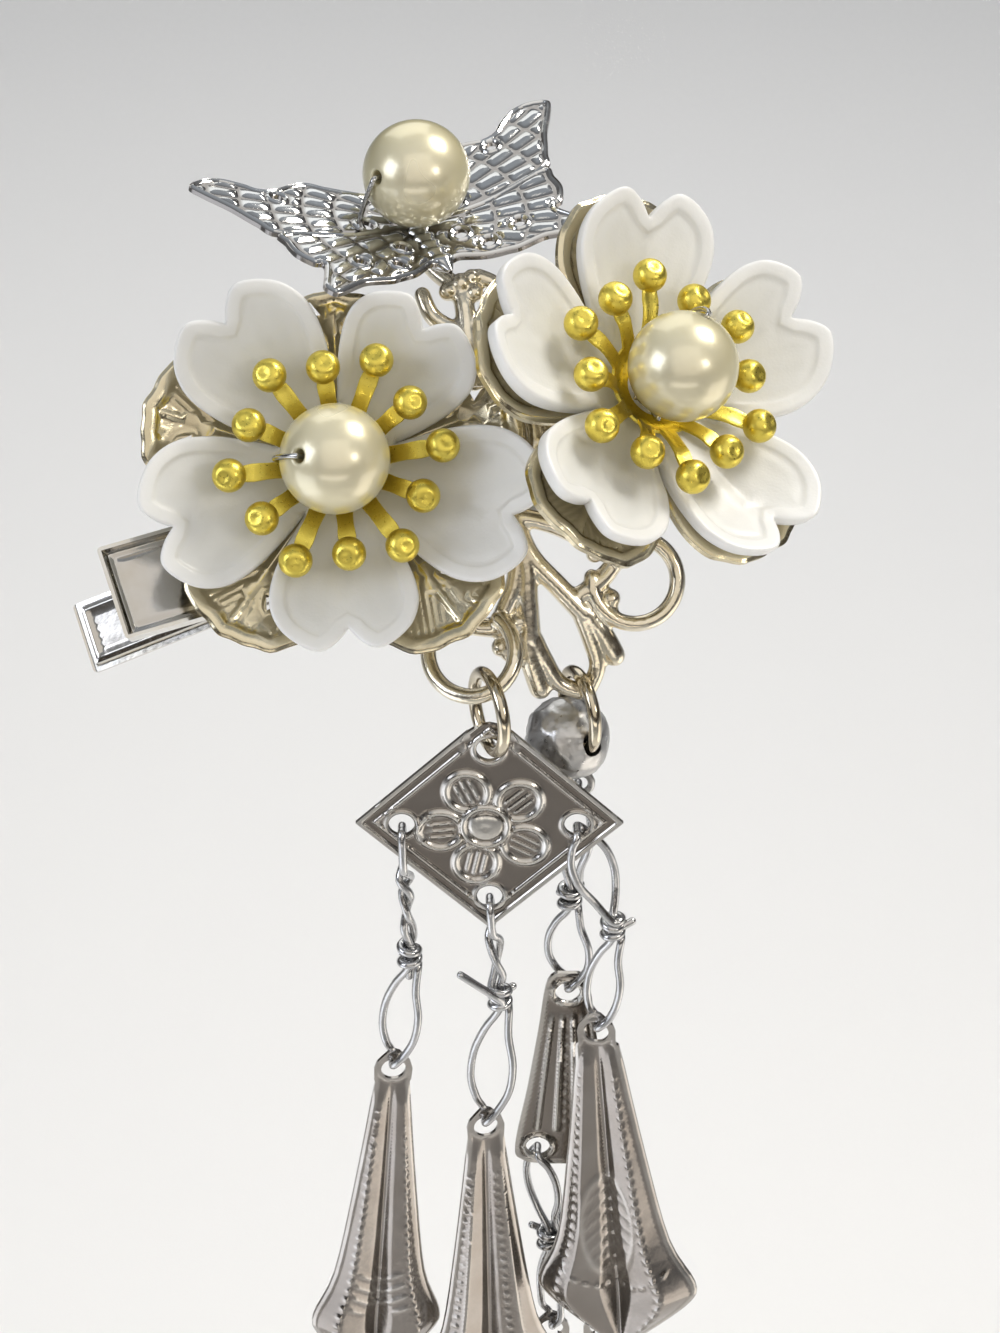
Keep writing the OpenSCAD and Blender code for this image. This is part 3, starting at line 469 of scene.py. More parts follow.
def edge_rows(loops, gaps):
    """Rows of points that follow the outline and its holes at set distances inside the sheet"""
    rows = []
    for number, loop in enumerate(loops):
        ahead = np.roll(loop, -1, axis=0) - np.roll(loop, 1, axis=0)
        across = np.column_stack((-ahead[:, 1], ahead[:, 0]))
        across /= np.maximum(np.linalg.norm(across, axis=1), 1e-9)[:, None]
        after = np.roll(loop, -1, axis=0)
        turn = np.sum(loop[:, 0] * after[:, 1] - loop[:, 1] * after[:, 0])
        way = 1 if (turn > 0) == (number == 0) else -1
        rows += [(gap, loop + way * gap * across) for gap in gaps]
    kept = [row[inside(row, loops) & (edge_gap(row, loops) > 0.94 * gap)] for gap, row in rows]
    return np.concatenate(kept) if kept else np.zeros((0, 2))


ROW_SHARE = 0.866  # height of an even triangle over its side


def stamped(outline, holes, step, thick, relief, place, under=1.0, shade_under=0.3, gaps=(), shade=None):
    """A sheet cut to an outline with holes. relief gives the height of its top at each point, and under
    the share of it that its back follows. place takes x, y and height to the sheet's own frame. Its mesh
    follows its edges at the distances in gaps, and is an even grid inside them. Each point gets painted
    shade from 0 to 1, the more the further it lies below a set height, or as shade gives, where given."""
    step *= FINE
    loops = [even(loop, step * 0.8) for loop in (outline, *holes)]
    low, high = loops[0].min(0), loops[0].max(0)
    ys = np.arange(low[1], high[1] + step, step * ROW_SHARE)
    gx, gy = np.meshgrid(np.arange(low[0], high[0] + step, step), ys)
    gx = gx + (np.arange(len(ys)) % 2)[:, None] * step / 2
    grid = np.column_stack((gx.ravel(), gy.ravel()))
    grid = grid[inside(grid, loops)]
    grid = grid[edge_gap(grid, loops) > (gaps[-1] if gaps else 0) + 0.55 * step]
    points = np.concatenate(loops + [edge_rows(loops, gaps), grid])
    edges, start = [], 0
    for loop in loops:
        n = len(loop)
        edges += [(start + i, start + (i + 1) % n) for i in range(n)]
        start += n
    made = geometry.delaunay_2d_cdt([Vector(p) for p in points], edges, [], 0, 1e-6)
    plan = np.array([tuple(v) for v in made[0]])
    tris = np.array([f for f in made[2] if len(f) == 3])
    tris = tris[inside(plan[tris].mean(1), loops)]
    a, b, c = plan[tris[:, 0]], plan[tris[:, 1]], plan[tris[:, 2]]
    area = (b[:, 0] - a[:, 0]) * (c[:, 1] - a[:, 1]) - (b[:, 1] - a[:, 1]) * (c[:, 0] - a[:, 0])
    tris = np.where((area < 0)[:, None], tris[:, ::-1], tris)[np.abs(area) > 1e-9]
    used, back = np.unique(tris.ravel(), return_inverse=True)
    plan, tris = plan[used], back.reshape(-1, 3)
    gap = edge_gap(plan, loops)
    height = relief(plan[:, 0], plan[:, 1], gap)
    top = place(plan[:, 0], plan[:, 1], height + thick / 2)
    bottom = place(plan[:, 0], plan[:, 1], height * under - thick / 2)
    n = len(plan)
    directed = {(int(t[i]), int(t[(i + 1) % 3])) for t in tris for i in range(3)}
    sides = [[i, i + n, j + n, j] for i, j in directed if (j, i) not in directed]
    faces = tris.tolist() + (tris[:, ::-1] + n).tolist() + sides
    # Painted shade for the material, from how low each point lies, or from shade where it is given
    deep = shade(plan[:, 0], plan[:, 1], gap) if shade else np.clip(1 - height / shade_under, 0, 1)
    return np.concatenate((top, bottom)), faces, np.concatenate((deep, deep))


def flat(x, y, gap):
    """The relief of a plain sheet"""
    return 0 * x


def upright_place(x, y, z):
    """A flat sheet that stands upright, with its top towards the front"""
    return np.column_stack((x, -z, y))


def nearest(x, y, spots):
    """How far each point lies from the nearest of some spots"""
    return np.min([np.hypot(x - at_x, y - at_y) for at_x, at_y in spots], axis=0)


# Blossoms

PETALS = 5
HALF_PETAL = 180 / PETALS
PETAL_ARC = 0.63  # half a petal's width over its distance from the centre
CENTRE_HOLE = round_loop((0, 0), 0.9, 24)
BLOSSOM_EDGE = ((0, 0.875), (4, 0.95), (9, 1), (16, 0.97), (23, 0.9), (29, 0.775), (33, 0.58), (36, 0.3))
LEAF_EDGE = ((0, 1), (8, 0.99), (16, 0.95), (23, 0.87), (29, 0.74), (33, 0.58), (36, 0.4))
BLOSSOM_LEFT = ((0.88, 1), (0.98, 1), (0.98, 2), (0.93, 2), (1.03, -1))
BLOSSOM_RIGHT = ((1, 7), (0.98, -3), (1, 0), (0.98, -4), (0.98, -2))
LEAVES_LEFT = ((0.88, 0), (0.8, 0), (0.93, 0), (0.96, 0), (1, 0))
LEAVES_RIGHT = ((0.92, 6), (0.96, 0), (0.94, 0), (0.98, -2), (0.93, -3))
BLOSSOM_UP = 0.9


def petal_outline(edge, own, full):
    """The closed outline of a five-petal flower. Each petal has its own reach and turn."""
    half = smooth_route(edge, 5)
    loop = []
    for k, (reach, turn) in enumerate(own):
        for side, part in ((-1, half[:0:-1]), (1, half[:-1])):
            for degree, share in part:
                fade = 1 - (degree / HALF_PETAL) ** 3
                a = math.radians(2 * HALF_PETAL * k + side * degree + turn * fade)
                r = share * (1 + (reach - 1) * fade) * full
                loop.append((r * math.cos(a), r * math.sin(a)))
    return np.array(loop)


def petal_side(x, y, own):
    """How far round its petal each point lies, from -1 to 1, and the petal's own number"""
    a = np.degrees(np.arctan2(y, x)) % 360
    count = np.round(a / (2 * HALF_PETAL))
    which = count.astype(int) % PETALS
    turn = np.array([t for _, t in own])[which]
    return (a - 2 * HALF_PETAL * count - turn) / HALF_PETAL, which


def blossom(own, full, thick):
    """A moulded blossom: five cupped petals with rolled, heart-notched edges and clefts between them"""
    cup = 4.4
    outline = petal_outline(BLOSSOM_EDGE, own, full)

    def relief(x, y, gap):
        r = np.hypot(x, y)
        side, which = petal_side(x, y, own)
        out = step_up(r, 4.5, 9.5)
        rim = 0.13 * step_up(1.2 - gap, 0, 0.2) - 0.05 * bump(gap, 1.4, 0.35)
        crease = -0.1 * bump(side * r * PETAL_ARC, 0, 1.3) * step_up(r, 4, 8)
        cleft = -0.4 * step_up(np.abs(side), 0.84, 1.0) * step_up(full * 0.6 - r, 0, 3)
        veins = 0.01 * np.cos(side * 26 + 0.3 * r) * step_up(r, 4, 9)
        tilt = 0.3 * side * np.where(which % 2 == 0, 1, -1)
        rounding = -0.3 * (1 - np.sqrt(np.clip(1 - (1 - np.clip(gap / 0.32, 0, 1)) ** 2, 0, 1)))
        return (rim + crease + veins + tilt) * out + cleft + rounding

    # Painted shade for the resin: none at the petals' edges and near the centre, full inside them, with faint
    # radial streaks
    def shade(x, y, gap):
        side, _ = petal_side(x, y, own)
        return step_up(gap, 0.2, 2.6) * (0.93 + 0.07 * np.cos(side * 26)) * step_up(np.hypot(x, y), 1, 5)

    def place(x, y, z):
        r = np.hypot(x, y)
        side, _ = petal_side(x, y, own)
        bowl = cup * (r / full) ** 2
        belly = 0.45 * side ** 2 * step_up(r, 4, 11)
        return np.column_stack((x, y, bowl + belly + BLOSSOM_UP + thick / 2 + z))

    gaps = (0.05, 0.13, 0.24, 0.4, 0.62, 0.84, 0.98, 1.05, 1.12, 1.2, 1.32, 1.5, 1.75, 2.1)
    return stamped(outline, [CENTRE_HOLE], 0.34, thick * 0.8, relief, place, 0.3, gaps=gaps, shade=shade)


def leaf_flower(own, full):
    """A stamped metal flower: a mid rib, slanting veins and a smooth raised rim on each petal"""
    cup = 3.2
    outline = petal_outline(LEAF_EDGE, own, full)
    round_way = np.arctan2(outline[:, 1], outline[:, 0])
    outline = outline * (1 + 0.006 * np.cos(25 * round_way) + 0.004 * np.cos(45 * round_way + 1))[:, None]
    cuts = []
    for a in np.radians(2 * HALF_PETAL * np.arange(PETALS) + 8.1):
        corner = a + np.radians((0, 120, 240))
        cuts.append(np.column_stack((11.3 * math.cos(a) + 0.7 * np.cos(corner),
                                     11.3 * math.sin(a) + 0.7 * np.sin(corner))))

    def relief(x, y, gap):
        r = np.hypot(x, y)
        side, _ = petal_side(x, y, own)
        across = side * r * PETAL_ARC
        edge = edge_gap(np.column_stack((x, y)), [outline])
        rim = 0.32 * step_up(1.4 - edge, 0, 0.45) - 0.25 * step_up(0.35 - edge, 0, 0.35)
        field = step_up(edge, 1.2, 1.5) * step_up(r, 4.5, 6.5)
        rib = 0.2 * bump(across, 0, 0.45) * step_up(r, 4, 6)
        slant = (r * 0.75 - np.abs(across) * 1.5) / 0.8
        veins = 0.1 * (0.5 + 0.5 * np.cos(2 * math.pi * slant)) * step_up(np.abs(across), 0.3, 0.6)
        return rim + field * (rib + veins)

    def place(x, y, z):
        r = np.hypot(x, y)
        side, _ = petal_side(x, y, own)
        wave = 0.12 * np.cos(side * 5) * step_up(r, 8, 14)
        return np.column_stack((x, y, cup * (r / full) ** 2 + 0.28 + wave + z))

    gaps = (0.1, 0.24, 0.4, 0.65, 0.9, 1.1, 1.3, 1.55)
    return stamped(outline, [CENTRE_HOLE] + cuts, 0.2, 0.42, relief, place, under=0.8, shade_under=0.1, gaps=gaps)


DISC_R, DISC_THICK, DISC_UP = 3.7, 0.35, 0.5
ARMS, ARM_REACH, ANTHER_R, DIMPLE = 12, (7.8, 6.8), 1.25, 0.3
ARM_SECTION = ((-1, 0), (-0.94, 0.5), (-0.5, 0.62), (0, 0.3), (0.5, 0.62), (0.94, 0.5), (1, 0),
               (0.6, -0.6), (-0.6, -0.6))


def stamen_head(sizes):
    """A shallow cup with a rolled rim and twelve creased arms, long and short in turn, each with its
    dimpled ball"""
    up = BLOSSOM_UP + sizes.petal_thick + DISC_UP
    rise, root, lip = 2.7, DISC_R - 0.25, 0.75
    rim, top = up + lip, up + DISC_THICK / 2 + rise
    parts = [lathe([
        (2, up), (2.7, up), (3.2, up + 0.1), (DISC_R - 0.05, rim - 0.15), (DISC_R + 0.05, rim + 0.1),
        (DISC_R - 0.05, rim + 0.26), (DISC_R - 0.2, rim + 0.2), (DISC_R - 0.32, rim - 0.05),
        (3, up + 0.36), (2.6, up + 0.27), (2.1, up + 0.27)], 72)]
    for i in range(ARMS):
        reach = ARM_REACH[i % 2]
        lean = math.atan2(rise - lip, reach - root)
        points, ways = [], np.linspace(0, 1, 9)
        for s in ways:
            arch = 0.3 * math.sin(math.pi * s) - 0.25 * math.exp(-((s - 0.72) / 0.12) ** 2)
            wide = 0.52 + 0.16 * (1 - s) ** 2 + 0.14 * math.exp(-((s - 0.62) / 0.2) ** 2)
            x, z, deep = root + (reach - root) * s, rim + (DISC_THICK / 2 + rise - lip) * s + arch, 0.34
            points += [(x - b * deep * math.sin(lean), a * wide, z + b * deep * math.cos(lean))
                       for a, b in ARM_SECTION]
        skin, faces, _ = ball(ANTHER_R, sides=32)
        off = np.linalg.norm(skin - np.array((0.3, 0.2 * (-1) ** i, 1.18)), axis=1)
        skin[:, 2] -= DIMPLE * np.exp(-(off / 0.5) ** 2)
        arm = join((points, banded(len(ways), len(ARM_SECTION)), 0.0), (skin + (reach, 0, top), faces, 0.0))
        parts.append(moved(arm, turned(z=360 / ARMS * i)))
    return join(*parts)


PEARL_GAP = 0.2
BORE_R = 0.5
THREAD_R = 0.2


def pearl_up(sizes):
    """Height of a flower's pearl above its back"""
    return BLOSSOM_UP + sizes.petal_thick + DISC_UP + DISC_THICK + PEARL_GAP + sizes.pearl_radius


def drilled_pearl(radius):
    """A bead with a bore along z whose mouths are slightly sunk and rounded"""
    start = math.asin((BORE_R + 0.22) / radius)
    arc = [(radius * math.sin(a), radius * math.cos(a)) for a in np.linspace(start, math.pi - start, 46)]
    top = math.cos(start) * radius
    lip = [(BORE_R + off, top - down) for off, down in ((0, 0.5), (0, 0.16), (0.06, 0.05), (0.14, 0.005))]
    return lathe(lip + arc + [(r, -z) for r, z in lip[::-1]], 64)


def pearl_loop(radius, lean, below):
    """The wire of a flower's pearl: up from the seat, through the bore and back round the pearl"""
    pair, low = 0.35, lean + 180
    out, deep = radius + THREAD_R + 0.12, radius - 0.6
    turns = [(185 + (low - 185) * i / 4, out) for i in (1, 2, 3)]
    turns += [(low, out - 0.1), (low, deep), (lean, deep), (lean, out - 0.1)]
    turns += [(lean + (175 - lean) * i / 9, out) for i in range(1, 9)]
    rows = [(-pair, 0, -below), (-pair, 0, -out - 0.15)]
    rows += [(r * math.sin(math.radians(a)), 0, r * math.cos(math.radians(a))) for a, r in turns]
    rows += [(pair, 0, -out - 0.15), (pair, 0, -below)]
    return tube(smooth_route(rows, 3), THREAD_R, 10, round_ends=False)


# Butterfly

FORE_WING = (
    (0.2, 4.2), (2.3, 5), (4.4, 5.9), (6.1, 6.8), (7.7, 6.6), (9.2, 6.1), (10.4, 6.3), (11.2, 7),
    (12.8, 7.9), (14.4, 7.9), (15.6, 7.1), (15, 5.8), (13.7, 3.9), (12.5, 1.6), (11.3, 0), (5.5, -0.8),
    (0.2, -0.8))
HIND_WING = (
    (0.2, 0), (5.5, -0.5), (11.2, 0.1), (11.5, -1.3), (11.4, -2.8), (10.6, -4.1), (9.9, -4.4), (10.6, -5.9),
    (11.2, -7.1), (10.9, -8), (10.2, -8.1), (8.4, -7.3), (7.4, -7), (5.5, -7), (4.7, -6.8), (3, -6.3),
    (1.3, -5.2), (0.2, -4.8))
WING_LIFT = 12
TOP_BORE = (191, 74)
TOP_SEAT = 1.1  # height of the top pearl's foot over the butterfly's middle
THREAD_HOLE = (3.9, 0.6)


def wing(outline, holes, lift, seam):
    """A stamped wing with a raised edge, which fades out at seam, and rows of long pillow-like cells along
    arcs round its root"""
    loop = rounded(outline, 5)
    row_gap, pitch, first, root = 2.4, 1.4, 2.2, 0.8

    def relief(x, y, gap):
        r, a = np.hypot(x + root, y), np.arctan2(y, x + root)
        row = np.floor((r - first) / row_gap)
        middle = first + (row + 0.5) * row_gap
        along = (r - middle) / (0.47 * row_gap)
        count = a * middle / pitch + 0.5 * (row % 2)
        across = (count - np.round(count)) / 0.43
        cell = np.clip(1 - np.abs(along) ** 3.5, 0, 1) * np.clip(1 - np.abs(across) ** 2, 0, 1)
        field = step_up(gap, 0.5, 0.75) * step_up(r, 2.4, 3.2)
        rim = 0.2 * bump(gap, 0.26, 0.26)
        return (field * 0.25 * cell + rim) * step_up((y - seam[0]) * seam[1], 0, 0.4)

    def place(x, y, z):
        return np.column_stack((x, y, z + lift))

    inner = [round_loop(h, r, 16) for h, r in holes]
    gaps = (0.08, 0.17, 0.26, 0.36, 0.48, 0.6, 0.72)
    return stamped(loop, inner, 0.135, 0.34, relief, place, under=0.9, shade_under=0.12, gaps=gaps)


def butterfly():
    """Two pairs of stamped wings on a body with chevron ribs"""
    fore = wing(FORE_WING, [((9.3, 4.9), 0.45), (THREAD_HOLE, 0.6)], 0.17, (-0.35, 1))
    hind = wing(HIND_WING, [((6.8, -4.4), 0.45), ((2.6, -2.9), 0.5), ((3.9, -5), 0.45)], 0.25, (9, -1))
    pair = moved(join(fore, hind), turned(y=-WING_LIFT))
    rows = [(-6.1, 0.25), (-5.6, 0.55)]
    for k in range(10):
        y = -5.2 + 0.98 * k
        rows += [(y, 0.78), (y + 0.24, 0.98), (y + 0.5, 0.98), (y + 0.74, 0.78)]
    rows += [(4.75, 0.7), (5.1, 0.4)]
    sides = 24
    turn = around(sides)
    chevron = 0.3 * (np.abs(np.cos(turn)) - 0.5)
    points = np.concatenate([
        np.column_stack((r * np.cos(turn), y + chevron, 0.3 + 0.72 * r * np.sin(turn))) for y, r in rows])
    faces = banded(len(rows), sides)
    # Its rings turn the other way, and so do its faces
    faces = [[a, d, c, b] for a, b, c, d in faces[:-2]] + [end[::-1] for end in faces[-2:]]
    # Painted shade: the body darkens where it narrows, between its ribs and at its ends
    body = points, faces, np.repeat([1 - r for _, r in rows], sides)
    return moved(join(pair, moved(pair, MIRROR_X), body), FLY)


def top_pearl_wire(radius):
    """The top pearl's wire: up through one wing, through the pearl and down through the other wing"""
    bearing, lean = map(math.radians, TOP_BORE)
    c = np.array((0, 0, TOP_SEAT + radius))
    along = np.array((math.sin(lean) * math.cos(bearing), math.sin(lean) * math.sin(bearing), math.cos(lean)))
    lift = THREAD_HOLE[0] * math.tan(math.radians(WING_LIFT))
    foot, other = (np.array((way * THREAD_HOLE[0], THREAD_HOLE[1], lift)) for way in (-1, 1))
    out, deep = along * (radius + 0.4), along * (radius - 0.4)
    rows = [foot - (-1.2, 0, 2.6), foot, foot + (-0.6, -0.5, 1.4), c + out + (0, 0, -0.7), c + deep, c,
            c - deep, c - out, other + (0.5, -0.2, 1.2), other, other - (1.2, 0, 2.6)]
    return moved(tube(smooth_route(rows, 5), THREAD_R, 10), FLY)


# Filigree base

UNIT_TURN = -66
CROTCH = 20.45
CAST_SKIN, CAST_VOXEL = 0.12, 0.15
LOOP_R, LOOP_WIRE, LOOP_MID, LOOP_LIFT = 3.25, 0.5, (14.5, 6.7), 3.8
HALF_RODS = (
    ((4, 0, 0, 0.8), (7, 0.1, 0, 0.75), (9.8, 0.25, 0, 0.7), (12.6, 1.25, 0, 0.7), (15.3, 2.25, 0, 0.75)),
    ((15, 2.1, 0, 0.7), (17.2, 1.95, 0, 0.62), (19.2, 1.6, 0, 0.55), (CROTCH, 0.4, 0, 0.55)),
    ((15, 2.4, 0, 0.7), (17, 2.85, 0, 0.75), (19, 3.05, 0, 0.75)),
    ((13.9, 1.9, 0, 0.55), (13.5, 4.2, 0, 0.65), (12.5, 6.2, 0, 0.55)),
    ((15, 2.4, 0, 0.55), (15.9, 3.8, 0, 0.55)),
    ((6.4, 0.2, 0, 0.6), (8.4, 2.9, 0, 0.6), (12.4, 6.2, 0, 0.55)))
LEFT_BAND = ((9.6, 0.8, 0, 0.55), (11.4, 1.9, 0, 0.6), (13.3, 4, 0, 0.6))
GRAINS = ((11.5, 4.7, 0.55), (12.4, 6.3, 0.8), (15, 4.5, 0.65), (15.7, 4.2, 0.5), (16.4, 3.7, 0.5))
UPPER_RODS = (
    ((0, 4.3, 0, 0.7), (-0.5, 7.6, 0, 0.7), (-1, 10.8, 0, 0.65), (-2.8, 12.6, -0.6, 0.6),
     (-4.7, 14.6, -0.9, 0.6)),
    ((-0.6, 8, 0, 0.6), (1.5, 9.6, 0, 0.55), (1.7, 11.4, 0, 0.5), (0.3, 12.2, 0, 0.5)),
    ((-0.6, 7.6, 0, 0.6), (-3, 9, 0, 0.55), (-3.9, 10.8, 0, 0.5)))
UPPER_GRAINS = ((-1, 11.6, 0.75), (0, 10.9, 0.6), (-2, 11, 0.6), (-0.2, 12.1, 0.55))


def on_dome(rows):
    """Points of the base, given as x, y and lift, on its domed plane"""
    rows = np.asarray(rows, float)
    out = rows[:, :3].copy()
    out[:, 2] += 2.6 - 0.01 * (rows[:, 0] ** 2 + rows[:, 1] ** 2)
    return out


def on_unit(x, y, lift):
    """A point of the lower unit, in the model's frame"""
    return placed(on_dome([(x, y, lift)]), FACE @ turned(at=(*BASE_AT, 0)) @ turned(z=UNIT_TURN))[0]


# Where the two jump rings hang: in the left half's loop and in the crotch
FRONT_PIVOT = on_unit(LOOP_MID[0] + LOOP_R, -LOOP_MID[1], LOOP_LIFT)
REAR_PIVOT = on_unit(CROTCH, -0.4, 0)


def cast_rod(rows, steps=8):
    """A cast rod with round ends"""
    fine = smooth_route(rows, steps)
    return tube(on_dome(fine), fine[:, 3] + CAST_SKIN, 14)


def grain(x, y, r):
    """A cast granule"""
    return ball(r + CAST_SKIN, on_dome([(x, y, 0.2)])[0], 14)


def half_unit(lift):
    """One half of the lower unit: stem, fingers, leaf, curl, scroll, granules and its loop"""
    parts = [cast_rod(rows) for rows in HALF_RODS] + [grain(*g) for g in GRAINS]
    near, rows = 12, []
    for a in np.radians(np.linspace(-118, 125, 30)):
        x, y = LOOP_MID[0] + LOOP_R * math.cos(a), LOOP_MID[1] + LOOP_R * math.sin(a)
        rows.append((x, y, lift * LOOP_LIFT * max(x - near, 0) / (LOOP_MID[0] + LOOP_R - near), LOOP_WIRE))
    return join(*parts, cast_rod(rows, 1))


def seat(at, lean, lean_to, foot):
    """A round seat under a flower, on its post"""
    tilt = turned(at=at) @ turned(z=lean_to) @ turned(y=lean)
    plate = lathe([(0.02, -0.75), (3.1, -0.75), (3.2, -0.65), (3.2, -0.25), (3.1, -0.15), (0.02, -0.15)], 40)
    start = placed([(0, 0, -0.6)], tilt)[0]
    end = np.array(at) - (0, 0, foot - 0.2)
    return join(moved(plate, tilt), tube([start, (start + end) / 2, end], 1.5, 16))


def filigree():
    """The whole cast base, fused into one skin with soft joints"""
    unit = join(half_unit(0.2), moved(join(half_unit(1), cast_rod(LEFT_BAND)), MIRROR_Y))
    parts = [moved(unit, turned(z=UNIT_TURN))]
    parts += [cast_rod(rows) for rows in UPPER_RODS] + [grain(*g) for g in UPPER_GRAINS]
    arm = cast_rod(((4.5, 1.2, 0, 0.7), (7.5, 1.9, 0, 0.65), (10.8, 1, 0, 0.65)))
    for a in (192, 12):
        parts += [moved(arm, turned(z=a)), moved(arm, turned(z=a) @ MIRROR_Y)]
    hub = [(4.5 * math.cos(a), 4.5 * math.sin(a), 0, 0.65) for a in np.linspace(0, 6.4, 40)]
    parts.append(cast_rod(hub, 1))
    block = [(-3.5, -0.6), (3.5, -0.6), (3.5, 4.4), (-3.5, 4.4)]
    pad = stamped(block, [], 0.6, 1.9, flat, lambda x, y, z: np.column_stack((x, y, z + 1.8)))
    points, faces, low = moved(fused(
        join(moved(join(*parts), turned(at=(*BASE_AT, 0))), moved(pad, PAD), seat(LEFT_AT, 0, 0, 2.2),
             seat(RIGHT_AT, 34, 33, 4.5)), CAST_VOXEL * FINE, 1), FACE)
    for pivot, way in ((FRONT_PIVOT, -1), (REAR_PIVOT, 1)):
        for degree in np.linspace(0, way * RING_SWING, 7):
            points = kept_off(points, swung(pivot, degree, RING_WAY) @ hung(pivot))
    return points, faces, low


def kept_off(points, place):
    """Points of the base, with those too near the wire of a jump ring at a place moved off it"""
    x, y, z = placed(points, place.inverted()).T
    spoke = np.hypot(x, y)
    push = np.maximum((RING_WIRE + RING_ROOM) / np.hypot(spoke - RING_R, z) - 1, 0)
    wide = 1 + (spoke - RING_R) * push / spoke
    return placed(np.column_stack((x * wide, y * wide, z * (1 + push))), place)


def fused(shape, voxel, rounds):
    """A shape's parts grown into one skin, with its joints eased"""
    mesh = bpy.data.meshes.new("fusing")
    mesh.from_pydata(np.asarray(shape[0]).tolist(), [], shape[1])
    work = linked("fusing", mesh)
    grown = work.modifiers.new("grown", "REMESH")
    grown.mode, grown.voxel_size, grown.adaptivity = "VOXEL", voxel, 0
    eased = work.modifiers.new("eased", "SMOOTH")
    eased.factor, eased.iterations = 0.5, rounds
    return taken(work)


def taken(work):
    """The shape of a scratch object with its modifiers applied; the object is removed"""
    bpy.context.view_layer.update()
    done = work.evaluated_get(bpy.context.evaluated_depsgraph_get()).to_mesh()
    points = np.zeros(len(done.vertices) * 3)
    done.vertices.foreach_get("co", points)
    faces = [list(p.vertices) for p in done.polygons]
    bpy.data.objects.remove(work)
    return points.reshape(-1, 3), faces, 0.0


# Clip

HINGE_BACK = 17
CLIP_WIDTH = 7.2
JAW_PROFILE = ((19, 0.45), (-11, 0.45), (-12.4, 0.55), (-15, 1.65), (-17, 1.85), (-19, 1.95))
LEVER_TIP = {1: (-31.3, 4.75), -1: (-35.8, 5.6)}
EAR_HOLE = round_loop((0, 0), 0.65, 24)


def jaw(side, width, lever, ear):
    """A pressed jaw and its tray-like lever, bent from one sheet, with side ears for the pin"""
    profile = np.array(JAW_PROFILE + (LEVER_TIP[side],))[::-1]
    tip, lip_start = 19, -HINGE_BACK - 1.9
    half, r = width / 2, 0.7
    corner = np.radians((0, 30, 60, 90))
    outline = [(tip - r + r * math.cos(a), half - r + r * math.sin(a)) for a in corner]
    r, end = 0.3, -HINGE_BACK - lever
    outline += [(end + r - r * math.sin(a), half - r + r * math.cos(a)) for a in corner]
    outline += [(x, -y) for x, y in outline[::-1]]

    def relief(x, y, gap):
        lip = side * (1.05 * step_up(0.5 - gap, 0, 0.22) - 0.15 * bump(gap, 0.85, 0.3))
        return step_up(lip_start - x, 0, 0.5) * lip

    # Painted shade on the floor of the lever's tray, inside its lip
    def shade(x, y, gap):
        return 0.6 * step_up(lip_start - x, 0, 0.5) * step_up(gap, 0.45, 0.7)

    def place(x, y, z):
        return np.column_stack((x, y, side * np.interp(x, profile[:, 0], profile[:, 1]) + z))

    gaps = (0.1, 0.2, 0.28, 0.34, 0.4, 0.46, 0.52, 0.6, 0.75, 0.95, 1.2)
    parts = [stamped(outline, [], 0.35, 0.58, relief, place, under=0.0, gaps=gaps, shade=shade)]
    ear_loop = [(ear * math.cos(a), -side * ear * math.sin(a)) for a in np.radians(np.linspace(0, 180, 25))]
    ear_loop += [(-ear, side * 1.75), (ear, side * 1.75)]
    for y in (0.28 - half, half - 0.28):
        plate = stamped(ear_loop, [EAR_HOLE], 0.3, 0.5, flat,
                        lambda u, v, w: np.column_stack((u - HINGE_BACK, w + y, v)))
        # Painted shade: the ears are darkened a little all over
        parts.append((plate[0], plate[1], 0.2))
    return moved(join(*parts), CLIP)


def spring_coil():
    """The coil spring on the pin, with a leg that bears on each jaw"""
    turns, half, r = 7, 1.75, 1.05
    a = np.linspace(0, 2 * math.pi * turns, turns * 20)
    coil = np.column_stack((r * np.cos(a), np.linspace(-half, half, len(a)), r * np.sin(a)))
    first, last = [(4.2, -half, 0.2), (1.6, -half, 0.12)], [(1.6, half, -0.12), (4.2, half, -0.2)]
    return moved(tube(np.concatenate((first, coil, last)), 0.2, 8), CLIP @ turned(at=(-HINGE_BACK, 0, 0)))


def hinge_pin(width):
    """The pin, with slightly domed ends"""
    half = width / 2 + 0.4
    end = ((0.02, 0.05), (0.35, 0.03), (0.55, -0.08), (0.6, -0.25))
    body = lathe([(r, -half - z) for r, z in end] + [(r, half + z) for r, z in end[::-1]], 32)
    return moved(moved(body, turned(x=90)), CLIP @ turned(at=(-HINGE_BACK, 0, 0)))


# Strands

HOLE_R = 1.0
LINK_WIRE = 0.32
PLATE_TOP = FRONT_PIVOT - (0, 0, 2 * RING_R - RING_HANG + HOLE_R - RING_WIRE - 0.25)
PLATE_MID = PLATE_TOP - (0, 0, 6.6)
PLATE_W, PLATE_H = 10.2, 9.9
SIDE_HOLE, LOW_HOLE = (6.7, -0.25), (0, -7)
BALL_MID = REAR_PIVOT - (0.9, -0.2, 2 * RING_R - RING_HANG - 0.3)
BALL_R, DENT = 3.4, 0.28
BALL_EYE = BALL_MID + (0.9, -0.2, -BALL_R - 0.6)
EYE_R, EYE_WIRE = 1.0, 0.3
PASSAGE_R, PASSAGE_SWAY = 0.7, (-3, 8)
FAN_TOP = np.array((REAR_PIVOT[0] - 0.6, REAR_PIVOT[1], -43.6))
FAN_HOLES = ((-2.3, -16.2), (2.3, -16.2))
WRAP_R, WRAP_TURNS, WRAP_HALF = 2 * LINK_WIRE + 0.08, 1.25, 1.05


